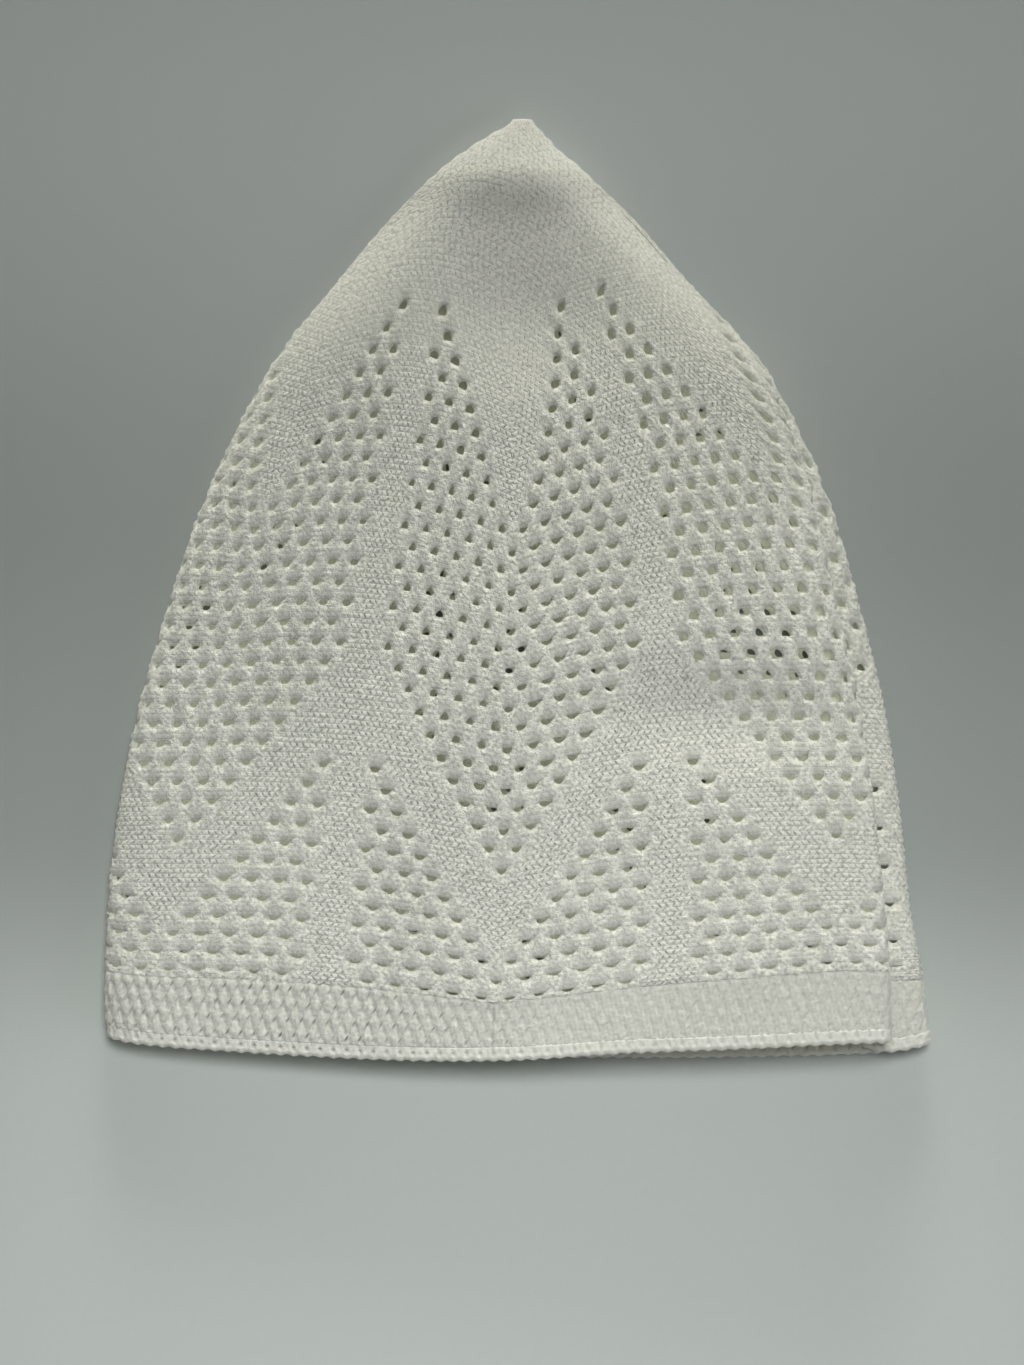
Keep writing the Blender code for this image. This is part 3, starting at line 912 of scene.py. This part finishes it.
def build_crown(leaf, options, material):
    draw = np.random.default_rng(options.seed + leaf)
    across, course, relief, fan, lace, open_cells = crown_grid(leaf, options, draw)
    repeat, up, off = on_cloth(leaf, across, course)
    relief = relief + stitch_relief(off, course, lace, options, draw)
    points = CLOTH.at(repeat, up)
    normals = CLOTH.outward(repeat, up)
    seam_tuck = SEAM_TUCK * (1 - ease(FIRST_COURSE, FIRST_COURSE + SEAM_COURSES, course))
    bent = 1 - ease(*BENT, np.abs(normals[..., 2]))
    relief = relief + FOLD_RELIEF * bent * np.cos(math.pi * course) - seam_tuck
    outer = lifted(points, normals, relief)
    thin = 1 - (1 - THIN_SHARE) * ease(THIN_FROM, THIN_FULL, up)
    inner = points - normals * (options.wall * thin)[..., None]
    rows, columns = across.shape
    index = np.arange(rows * columns).reshape(rows, columns)
    line = HALF * ACROSS
    shut = np.ceil(half_width(course[:, :1]) * ACROSS - SLACK).astype(int)
    place = np.arange(columns)[None, :]
    folded = np.where(place <= line, place, 2 * line - place)
    index = np.where(folded >= shut, index[:, line : line + 1], index)
    tip = rows * columns
    index = np.vstack((index, np.full((1, columns), tip)))
    open_cells = np.vstack((open_cells, np.zeros((1, columns - 1), bool)))
    offset = tip + 1
    tip_points = (CLOTH.tip, CLOTH.tip - (0, options.wall * THIN_SHARE, 0))
    every = np.vstack((outer.reshape(-1, 3), tip_points[:1], inner.reshape(-1, 3), tip_points[1:]))
    quads, triangles = joined_faces(index, open_cells)
    sides = [
        np.column_stack((low, low + offset, high + offset, high))
        for low, high in ((index[1:, 0], index[:-1, 0]), (index[:-1, -1], index[1:, -1]))
    ]
    here, there = index[0, :-1], index[0, 1:]
    faces = [
        quads, triangles, quads[:, ::-1] + offset, triangles[:, ::-1] + offset,
        hole_walls(index, open_cells, offset), *sides,
        np.column_stack((there, here, here + offset, there + offset)),
    ]
    side = 2.0 * leaf + (across > HALF)
    stitch = np.stack((off, course, side), axis=-1).reshape(-1, 3)
    edge = np.zeros(across.shape, bool)
    edge[:, [0, -1]] = True
    edge[0] = True

    def both_faces(values, at_tip):
        return np.tile(np.append(values.ravel(), at_tip), 2)

    fields = {
        "stitch": np.tile(np.vstack((stitch, stitch[-1:])), (2, 1)),
        "scoop": both_faces(fan, 0),
        "lace": both_faces(lace, 0),
        "inside": np.repeat((0.0, 1.0), offset),
    }
    creased = both_faces(edge, False)
    return add_piece(f"knit_crown_{leaf + 2}", every, faces, material, fields, creased)


def seam_height(repeat):
    """Top of the band: it follows the crown's first course."""
    return course_height(np.full(repeat.shape, FIRST_COURSE), repeat)


def band_stitches(place, level, lean):
    """How far each point stands out in its leaning stitch, 0 on its edge."""
    spans = []
    for step in (-1, 0, 1):
        row = np.floor(level) + step
        rise = level - row - 0.5
        x = (place + 0.5 * (row % 2) - lean * rise) % 1.0 - 0.5
        for near in (np.abs(x), 1 - np.abs(x)):
            span = (2 * near) ** STITCH_POWER + np.abs(rise) ** STITCH_POWER
            spans.append(span ** (1 / STITCH_POWER))
    first, second = np.sort(np.array(spans), axis=0)[:2]
    groove = np.exp(-(((second - first) / GROOVE_WIDTH) ** GROOVE_POWER))
    return (1 - groove) * (STITCH_TOP - STITCH_FALL * first**2)


def build_band(options, material):
    """The band's leaning, overlapping stitches in staggered rows."""
    draw = np.random.default_rng(options.seed + BAND_SEED)
    columns = options.band_stitches * REPEATS * BAND_STEPS
    around = np.arange(columns) / (options.band_stitches * BAND_STEPS)
    repeat, share = np.meshgrid(around, np.linspace(0, 1, BAND_LEVELS))
    top = seam_height(repeat) + BAND_OVER_CROWN
    low = CHAIN_HEIGHT - BAND_OVER_CHAIN
    up = low + share * (top - low)
    level = share * options.band_rows
    place = repeat * options.band_stitches
    puff = band_stitches(place, level, options.band_lean)
    uneven = BAND_UNEVEN * draw.standard_normal(puff.shape)
    points = CLOTH.at(repeat, up)
    normals = CLOTH.outward(repeat, up)
    plump = 1 - BAND_FLAT * ease(*BAND_FLAT_ACROSS, points[..., 0])
    height = BAND_RELIEF * puff * plump * options.relief - BAND_SUNK + uneven
    height = height - BAND_EDGE * ease(BAND_EDGE_FROM, 1.0, share) ** BAND_EDGE_POWER
    outer = lifted(points, normals, height)
    inner = points[[0, -1]] - normals[[0, -1]] * options.band_wall
    every = np.vstack((outer.reshape(-1, 3), inner.reshape(-1, 3)))
    index = np.arange((BAND_LEVELS + 2) * columns).reshape(-1, columns)
    index = np.column_stack((index, index[:, 0]))
    outside, within = index[:BAND_LEVELS], index[BAND_LEVELS:]
    faces = [quads_over(outside).reshape(-1, 4), quads_over(within).reshape(-1, 4)[:, ::-1]]
    for first, second, shift in ((1, 0, 0), (0, 1, -1)):
        rim, wall = outside[shift], within[shift]
        here, there = (slice(k, k + columns) for k in (first, second))
        faces.append(np.column_stack((rim[here], rim[there], wall[there], wall[here])))
    stitch = np.stack((place, level, np.zeros(place.shape)), axis=-1).reshape(-1, 3)
    # Painted shade: the groove field colours the low parts between band stitches darker.
    fields = {
        "stitch": np.vstack((stitch, np.zeros((2 * columns, 3)))),
        "groove": np.append(1 - ease(0.0, 0.5, puff), np.zeros(2 * columns)),
    }
    return add_piece("knit_band_stitches", every, faces, material, fields)


def build_chain(options, material):
    """The chain stitch round the rim: two strands with a small pit in each link."""
    draw = np.random.default_rng(options.seed + CHAIN_SEED)
    count = options.band_stitches * REPEATS
    columns = count * CHAIN_STEPS
    repeat = np.arange(columns) / (options.band_stitches * CHAIN_STEPS)
    angle = np.linspace(0, 2 * math.pi, CHAIN_SIDES, endpoint=False)[:, None]
    link = repeat * options.band_stitches
    beat = 0.5 + 0.5 * np.cos(2 * math.pi * link)[None, :]
    size = 1 + CHAIN_UNEVEN * draw.standard_normal(count)[np.floor(link).astype(int) % count]
    half_wall = 0.5 * options.chain_wall
    half_rise = 0.5 * CHAIN_HEIGHT
    out, rise = (
        np.sign(part) * np.abs(part) ** CHAIN_POWER for part in (np.cos(angle), np.sin(angle))
    )
    groove = np.exp(-((np.abs(rise - CHAIN_GROOVE_AT) / CHAIN_GROOVE_HEIGHT) ** 2)) * np.abs(out)
    lower = np.clip(-rise, 0, 1)
    upper = np.clip(rise, 0, 1)
    puff = 1 + LOWER_PUFF * beat * lower * size + UPPER_PUFF * (1 - beat) * upper
    depth = CHAIN_GROOVE + CHAIN_PIT * beat**PIT_POWER
    depth = half_wall * out * puff - np.sign(out) * groove * depth
    height = rise * (1 + LINK_SIZE * size) - LINK_DROP * lower * beat + CHAIN_RAISED
    up = np.full(repeat.shape, half_rise)
    points, normals = CLOTH.at(repeat, up)[None], CLOTH.outward(repeat, up)[None]
    every = lifted(points, normals, depth - half_wall)
    every[..., 1] += half_rise * height
    index = np.arange(CHAIN_SIDES * columns).reshape(CHAIN_SIDES, columns)
    closed = np.vstack((index, index[:1]))
    right = np.roll(closed, -1, axis=1)
    quads = np.stack((right[:-1], right[1:], closed[1:], closed[:-1]), axis=-1).reshape(-1, 4)
    pit = groove * beat**PIT_POWER * np.clip(np.sign(out), 0, 1)
    stitch = np.stack(np.broadcast_arrays(link, rise, 0.0), axis=-1)
    # Painted shade: the groove field colours the pit and the groove of each link darker.
    fields = {
        "stitch": stitch.reshape(-1, 3),
        "groove": np.clip(pit + GROOVE_SHADE_SHARE * groove, 0, 1).ravel(),
    }
    return add_piece("chain_edge_stitches", every.reshape(-1, 3), [quads], material, fields)


def shader_maths(operation, swapped=False):
    """A method that adds one Math node for an operator."""

    def apply(value, *others):
        terms = (value, *others)
        return value.maths(operation, *(reversed(terms) if swapped else terms))

    return apply


class Value:
    """A number in a shader, so that its maths can be written as an expression."""

    def __init__(self, shader, socket):
        self.shader = shader
        self.socket = socket

    def maths(self, operation, *terms, clamp=False):
        settings = {"operation": operation, "use_clamp": clamp}
        return Value(self.shader, self.shader.node("ShaderNodeMath", settings, *terms).outputs[0])

    __add__ = shader_maths("ADD")
    __radd__ = shader_maths("ADD", swapped=True)
    __sub__ = shader_maths("SUBTRACT")
    __rsub__ = shader_maths("SUBTRACT", swapped=True)
    __mul__ = shader_maths("MULTIPLY")
    __rmul__ = shader_maths("MULTIPLY", swapped=True)
    __truediv__ = shader_maths("DIVIDE")
    __pow__ = shader_maths("POWER")
    __abs__ = shader_maths("ABSOLUTE")
    floor = shader_maths("FLOOR")
    fract = shader_maths("FRACT")

    def clamped(self):
        return self.maths("ADD", self, 0.0, clamp=True)

    def between(self, low, high):
        """0 below the first number, 1 above the second, and smooth between them."""
        settings = {"interpolation_type": "SMOOTHSTEP"}
        node = self.shader.node("ShaderNodeMapRange", settings, self, low, high)
        return Value(self.shader, node.outputs[0])


class Shader:
    """A material's nodes."""

    def __init__(self, name):
        self.material = bpy.data.materials.new(name)
        self.material.use_nodes = True
        self.tree = self.material.node_tree
        self.place = self.node("ShaderNodeTexCoord", {}).outputs["Object"]

    def node(self, kind, settings, *values, **named):
        made = self.tree.nodes.new(kind)
        for name, setting in settings.items():
            setattr(made, name, setting)
        self.give(made, {**dict(enumerate(values)), **named})
        return made

    def give(self, node, values):
        """Links or sets inputs of a node, by their number or name."""
        for key, value in values.items():
            value = value.socket if isinstance(value, Value) else value
            if isinstance(value, bpy.types.NodeSocket):
                self.tree.links.new(value, node.inputs[key])
            else:
                node.inputs[key].default_value = value

    def parts(self, vector):
        made = self.node("ShaderNodeSeparateXYZ", {}, vector)
        return [Value(self, socket) for socket in made.outputs]

    def field(self, name):
        return self.node("ShaderNodeAttribute", {"attribute_name": name})

    def number(self, name):
        return Value(self, self.field(name).outputs["Fac"])

    def noise(self, scale, detail, roughness):
        made = self.node(
            "ShaderNodeTexNoise", {}, self.place, Scale=scale, Detail=detail, Roughness=roughness
        )
        return Value(self, made.outputs[0])

    def chance(self, x, y):
        place = self.node("ShaderNodeCombineXYZ", {}, x, y)
        made = self.node("ShaderNodeTexWhiteNoise", {"noise_dimensions": "2D"}, place.outputs[0])
        return Value(self, made.outputs["Value"])

    def mixed(self, share, first, second):
        made = self.node("ShaderNodeMix", {"data_type": "RGBA"})
        self.give(made, {"Factor": share, MIX_FIRST: first, MIX_SECOND: second})
        return made.outputs[MIXED]

    def finished(self, looks, height):
        """Sets the surface's looks, with a bump of the given height in metres."""
        bump = self.node("ShaderNodeBump", {}, Strength=1.0, Distance=1.0, Height=height)
        looks = {**looks, "Normal": bump.outputs["Normal"]}
        self.give(self.tree.nodes["Principled BSDF"], looks)
        return self.material


def rgb(colour):
    return (*colour, 1.0)


def yarn_surface(shader, options, colour, height, through):
    """What the three knits share: matt yarn with a soft sheen, and a painted glow for light through
    the cloth and the left fold.
    """
    across, _, above = shader.parts(shader.place)
    # Painted glow along the edge of the left fold.
    fold = (1.0 - across.between(*FOLD_ACROSS)) * (1.0 - above.between(*FOLD_ABOVE))
    light = (through + fold * LIGHT_FOLD).clamped()
    looks = {
        "Base Color": colour, "Metallic": 0.0, "Roughness": 0.92, "Specular IOR Level": 0.25,
        "Sheen Weight": options.sheen, "Sheen Roughness": 0.5, "Emission Strength": 1.0,
        "Emission Color": shader.mixed(light, rgb((0, 0, 0)), rgb(options.painted_glow)),
    }
    return shader.finished(looks, height)


def lace_material(options):
    """Fine knit: offset grains with dark ticks between them, fuzzier and rounder in the lace."""
    shader = Shader("lace_knit")
    sideways, up, above = shader.parts(shader.place)
    across, course, side = shader.parts(shader.field("stitch").outputs["Vector"])
    scoop, lace, inside = (shader.number(name) for name in ("scoop", "lace", "inside"))
    fuzz, clumps, wander = (shader.noise(*kind) for kind in (FUZZ, CLUMPS, WANDER))
    row = course.floor()
    odd = (row * 0.5).fract() * 2.0
    rise = course.fract() - 0.5
    lean = across + 0.5 * odd + (GRAIN_LEAN - 2 * GRAIN_LEAN * odd) * rise
    beside = abs(lean.fract() - 0.5)
    chance = shader.chance((lean + 0.5).floor() + (side + 0.5).floor() * TICK_SIDES, row)
    pillow = (1.0 - (beside * 2.0) ** GRAIN_POWER) * (1.0 - (abs(rise) * 2.0) ** GRAIN_POWER)
    tick = 1.0 - ((0.5 - beside) / TICK_WIDTH) ** 2.0 - (rise / TICK_HEIGHT) ** 2.0
    high = course.between(*HIGH_KNIT)
    tip = course.between(*TIP_KNIT)
    plain = (1.0 - lace * TICK_LOSS_LACE) * (1.0 - high * TICK_LOSS_HIGH)
    crisp = TICK_LEFT - sideways.between(*SOFT_ACROSS) * TICK_LOSS_RIGHT
    dark = tick.clamped() * plain * (TICK_LEAST + (1 - TICK_LEAST) * chance) * crisp * options.tick
    smooth = (1.0 - scoop * SMOOTH_SCOOP) * (1.0 - high * SMOOTH_HIGH + tip * ROUGH_TIP)
    grain = (clumps - 0.5) * CLUMP_TONE + (pillow - PILLOW_MIDDLE) * PILLOW_TONE * plain
    tip_grain = (pillow - TIP_PILLOW_MIDDLE) * TIP_PILLOW_TONE + (fuzz - 0.5) * TIP_FUZZ_TONE
    # Painted shade darkens the scoop over each eyelet.
    tone = TONE + (grain * smooth + tip_grain * tip) - scoop * SCOOP_SHADE
    # The tip is painted lighter, a painted highlight.
    tone = (tone + (wander - 0.5) * WANDER_TONE + tip * TIP_HIGHLIGHT).clamped()
    colour = shader.mixed(tone, rgb(options.shade), rgb(options.yarn))
    colour = shader.mixed(dark.clamped(), colour, rgb(options.gap))
    # Painted shade: the inner face takes a darker, yellower colour than the yarn.
    colour = shader.mixed(inside, colour, rgb(options.inside))
    # Painted shade: the inner face of the tucked cloth is mixed towards the dark gap colour.
    tucked = sideways.between(*TUCKED_ACROSS) * (1.0 - above.between(*TUCKED_ABOVE))
    colour = shader.mixed(inside * tucked * TUCKED_SHADE, colour, rgb(options.gap))
    height = pillow * (PILLOW_BUMP * plain + LACE_PILLOW_BUMP - TIP_PILLOW_BUMP * tip)
    height = height + (clumps - 0.5) * (CLUMP_BUMP + CLUMP_BUMP * lace) * smooth
    height = height + fuzz * FUZZ_BUMP - dark * TICK_BUMP
    low = 1.0 - up.between(*LOW_UP)
    right = sideways.between(*RIGHT_ACROSS)
    # Painted glow on the inner face, seen through the eyelets.
    light = inside * (LIGHT_INSIDE + low * LIGHT_LOW + right * LIGHT_RIGHT)
    light = light * (1.0 - tucked * LIGHT_LOSS_TUCKED)
    return yarn_surface(shader, options, colour, height, light)


def strand_material(name, options, lines, ticks, pits, lightness):
    """Thicker stitches of the band and the chain: fine plies along each stitch."""
    shader = Shader(name)
    sideways, _, _ = shader.parts(shader.place)
    across, along, _ = shader.parts(shader.field("stitch").outputs["Vector"])
    groove = shader.number("groove")
    noises = (STRAND_FUZZ, STRAND_CLUMPS, STRAND_WANDER)
    fuzz, clumps, wander = (shader.noise(*kind) for kind in noises)
    soft = sideways.between(*BAND_SOFT_ACROSS)
    crisp = sideways.between(*BAND_CRISP_ACROSS) - soft * STRAND_SOFT
    row = along.floor()
    rise = along.fract() - 0.5
    beside = across + (row * 0.5).fract() - rise * options.tick_lean
    chance = shader.chance((beside + 0.5).floor(), row)
    aside = ((beside + 0.5).fract() - 0.5) / STRAND_TICK_WIDTH
    tick = 1.0 - aside ** 2.0 - ((rise + STRAND_TICK_LOW) / STRAND_TICK_HEIGHT) ** 2.0
    chance = STRAND_TICK_LEAST + chance * (1 - STRAND_TICK_LEAST)
    tick = tick.clamped() * chance * crisp * ticks
    plies = abs((across * lines + along * PLY_LEAN).fract() - 0.5)
    # Painted shade in the band's grooves and the chain's pits, with the dark ticks between stitches.
    deep = (groove ** 2.0) * pits * crisp + tick * options.tick
    rough = 1.0 - soft * STRAND_SMOOTH
    tone = (clumps - 0.5) * STRAND_CLUMP_TONE * rough + (wander - 0.5) * STRAND_WANDER_TONE
    tone = (tone - plies * PLY_TONE + lightness).clamped()
    colour = shader.mixed(tone, rgb(options.shade), rgb(options.yarn))
    colour = shader.mixed(deep.clamped(), colour, rgb(options.gap))
    height = fuzz * FUZZ_BUMP + (clumps - 0.5) * CLUMP_BUMP * rough
    height = height - plies * PLY_BUMP - tick * STRAND_TICK_BUMP
    return yarn_surface(shader, options, colour, height, 0.0)


def floor_material(options):
    """Pale matt paper with painted shade and light: darker beside the cap and lighter again behind its
    point.
    """
    shader = Shader("paper")
    _, up, _ = shader.parts(shader.place)
    fibres = shader.noise(*PAPER_FIBRES)
    colour = shader.mixed(fibres * PAPER_TONE, rgb(options.floor), rgb(options.floor_shade))
    away = up.between(options.floor_near, options.floor_far)
    colour = shader.mixed(away, colour, rgb(options.floor_shade))
    colour = shader.mixed(up.between(*BACK_UP), colour, rgb(options.floor_painted_light))
    looks = {"Base Color": colour, "Roughness": 0.9, "Specular IOR Level": 0.2}
    return shader.finished(looks, fibres * PAPER_BUMP)


def option(kind, **fixed):
    """A maker of properties of one kind."""

    def made(name, description, default):
        return kind(name=name, description=description, default=default, **fixed)

    return made


whole_number = option(bpy.props.IntProperty)
amount = option(bpy.props.FloatProperty, min=0)
metres = option(bpy.props.FloatProperty, unit="LENGTH", precision=4)
watts = option(bpy.props.FloatProperty, unit="POWER")
turned = option(bpy.props.FloatProperty, subtype="ANGLE")
tint = option(bpy.props.FloatVectorProperty, subtype="COLOR", size=3, min=0, max=1)


class CapKnit(bpy.types.PropertyGroup):
    """Sizes and colours of the knitted cloth."""

    seed: whole_number("Seed", "Start of the unevenness of the stitches", 7)
    wall: metres("Crown wall", "Thickness of the lace cloth", 0.0014)
    band_wall: metres("Band wall", "Thickness of the band", 0.0030)
    chain_wall: metres("Chain wall", "Thickness of the chain edge", 0.0034)
    relief: amount("Relief", "How far the stitches stand out, as a share of the real ones", 1.0)
    eyelet_size: amount("Eyelet size", "Size of the lace holes, as a share of the real ones", 1.0)
    band_stitches: whole_number("Band stitches", "Band stitches in one repeat of the lace", 26)
    band_rows: whole_number("Band rows", "Rows of leaning stitches in the band", 4)
    band_lean: amount("Band lean", "How far a band stitch leans over its own height", 0.16)
    yarn: tint("Yarn", "Colour of the yarn", (0.90, 0.90, 0.82))
    shade: tint("Yarn shade", "Colour of the yarn deep between stitches", (0.46, 0.48, 0.42))
    # Dark gaps between stitches, and also painted shade in the tucked cloth, the band's grooves and
    # the chain's pits.
    gap: tint("Gaps", "Colour of the small gaps between stitches", (0.16, 0.17, 0.14))
    # Painted shade: the inner face is coloured darker than the yarn.
    inside: tint("Inside", "Colour of the cloth's inner face", (0.76, 0.78, 0.69))
    # Painted glow: an emission colour for light that comes through the cloth.
    painted_glow: tint("Light through", "Light that comes through the cloth", (0.125, 0.127, 0.102))
    sheen: amount("Sheen", "Soft sheen of the fuzzy yarn", 0.4)
    tick: amount("Tick depth", "How dark the gaps between plain stitches are", 0.8)
    tick_lean: amount("Tick lean", "How far a gap between band stitches leans", 0.55)
    # Painted shade: how dark the band's grooves and the chain's pits are coloured.
    groove: amount("Groove depth", "How dark the grooves between band stitches are", 0.08)
    pits: amount("Pit depth", "How dark the small pits of the chain are", 0.85)


class CapStage(bpy.types.PropertyGroup):
    """Floor, lights and camera."""

    floor: tint("Floor", "Colour of the floor in front", (0.555, 0.596, 0.568))
    # Painted shade beside the cap and painted light behind its point.
    floor_shade: tint("Floor shade", "Colour of the floor beside", (0.365, 0.396, 0.380))
    floor_painted_light: tint("Floor back", "Colour of the floor behind the point", (0.67, 0.715, 0.71))
    floor_near: metres("Shade starts", "Where the floor starts to darken", -0.145)
    floor_far: metres("Shade is full", "Where the floor is darkest", -0.066)
    floor_drop: metres("Floor drop", "Gap that keeps the floor clear of the cloth", 0.0003)
    lens: amount("Lens", "Focal length of the camera in millimetres", 83.0)
    distance: metres("Distance", "From the camera to the cap", 0.890)
    elevation: turned("Elevation", "Angle of the camera over the floor", math.radians(86))
    key: watts("Main light", "Power of the main light", 0.80)
    edge: watts("Edge light", "Power of the low light behind the point", 30.0)
    side: watts("Side light", "Power of the weak light on the right", 1.8)
    sky: amount("Sky", "Strength of the even light from all round", 0.085)


def deselect_all():
    for piece in bpy.context.selected_objects:
        piece.select_set(False)
    bpy.context.view_layer.objects.active = None


class CAP_OT_crown(bpy.types.Operator):
    """Knits the lace crown, one leaf's width at a time"""

    bl_idname = "cap.crown"
    bl_label = "Lace crown"

    def execute(self, context):
        options = context.scene.cap_knit
        deselect_all()
        material = lace_material(options)
        pieces = [build_crown(leaf, options, material) for leaf in range(-1, REPEATS - 1)]
        for piece in pieces:
            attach(piece, "root")
            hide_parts("knit_crown")
        return {"FINISHED"}


class CAP_OT_band(bpy.types.Operator):
    """Knits the band of leaning stitches"""

    bl_idname = "cap.band"
    bl_label = "Band"

    def execute(self, context):
        options = context.scene.cap_knit
        deselect_all()
        material = strand_material(
            "band_knit", options, lines=3.0, ticks=1.1, pits=options.groove, lightness=0.50
        )
        piece = build_band(options, material)
        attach(piece, "root")
        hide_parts("knit_band")
        return {"FINISHED"}


class CAP_OT_chain(bpy.types.Operator):
    """Works the chain stitch round the rim"""

    bl_idname = "cap.chain"
    bl_label = "Chain edge"

    def execute(self, context):
        options = context.scene.cap_knit
        deselect_all()
        material = strand_material(
            "chain_knit", options, lines=2.0, ticks=0.0, pits=options.pits, lightness=0.75
        )
        piece = build_chain(options, material)
        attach(piece, "root")
        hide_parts("chain_edge")
        return {"FINISHED"}


class CAP_OT_stage(bpy.types.Operator):
    """Sets the floor, the lights and the camera"""

    bl_idname = "cap.stage"
    bl_label = "Floor, lights and camera"

    def execute(self, context):
        options = context.scene.cap_stage
        deselect_all()
        bpy.ops.mesh.primitive_plane_add(size=FLOOR_SIZE)
        floor = context.object
        floor.name = "floor"
        for corner in floor.data.vertices:
            corner.co.z -= options.floor_drop
        floor.data.materials.append(floor_material(options))
        self.light("main_light", options.key, *MAIN_LIGHT)
        self.light("side_light", options.side, *SIDE_LIGHT)
        self.light("edge_light", options.edge, *EDGE_LIGHT).color = EDGE_COLOUR
        self.camera(options)
        context.scene.view_settings.view_transform = "Standard"
        world = bpy.data.worlds.new("studio")
        world.use_nodes = True
        sky = world.node_tree.nodes["Background"].inputs
        sky["Color"].default_value = rgb(SKY_COLOUR)
        sky["Strength"].default_value = options.sky
        context.scene.world = world
        return {"FINISHED"}

    def light(self, name, power, where, target, width, spread):
        bpy.ops.object.light_add(type="AREA", location=where)
        lamp = bpy.context.object
        lamp.name = name
        away = Vector(where) - Vector(target)
        lamp.rotation_euler = away.to_track_quat("Z", "Y").to_euler()
        lamp.data.shape = "DISK"
        lamp.data.size = width
        lamp.data.energy = power
        lamp.data.spread = math.radians(spread)
        return lamp.data

    def camera(self, options):
        away = Vector((0, -math.cos(options.elevation), math.sin(options.elevation)))
        bpy.ops.object.camera_add(location=Vector(LOOK_AT) + options.distance * away)
        camera = bpy.context.object
        camera.name = "camera"
        camera.rotation_euler = away.to_track_quat("Z", "Y").to_euler()
        camera.data.lens = options.lens
        camera.data.sensor_width = SENSOR_WIDTH
        bpy.context.scene.camera = camera


class CAP_PT_panel(bpy.types.Panel):
    """Lists the steps that build the cap"""

    bl_idname = "CAP_PT_panel"
    bl_label = "Knitted prayer cap"
    bl_space_type = "VIEW_3D"
    bl_region_type = "UI"
    bl_category = "Cap"

    def draw(self, context):
        for operator in OPERATORS:
            self.layout.operator(operator.bl_idname)
        for settings in (context.scene.cap_knit, context.scene.cap_stage):
            for name in settings.bl_rna.properties.keys():
                if name not in ("rna_type", "name"):
                    self.layout.prop(settings, name)


OPERATORS = (CAP_OT_stage, CAP_OT_crown, CAP_OT_band, CAP_OT_chain)
CLASSES = (CapKnit, CapStage, *OPERATORS, CAP_PT_panel)


def register():
    for item in CLASSES:
        bpy.utils.register_class(item)
    bpy.types.Scene.cap_knit = bpy.props.PointerProperty(type=CapKnit)
    bpy.types.Scene.cap_stage = bpy.props.PointerProperty(type=CapStage)


def unregister():
    del bpy.types.Scene.cap_stage
    del bpy.types.Scene.cap_knit
    for item in reversed(CLASSES):
        bpy.utils.unregister_class(item)


def main():
    register()
    bpy.ops.cap.stage()
    bpy.ops.cap.crown()
    bpy.ops.cap.band()
    bpy.ops.cap.chain()


if __name__ == "__main__":
    main()
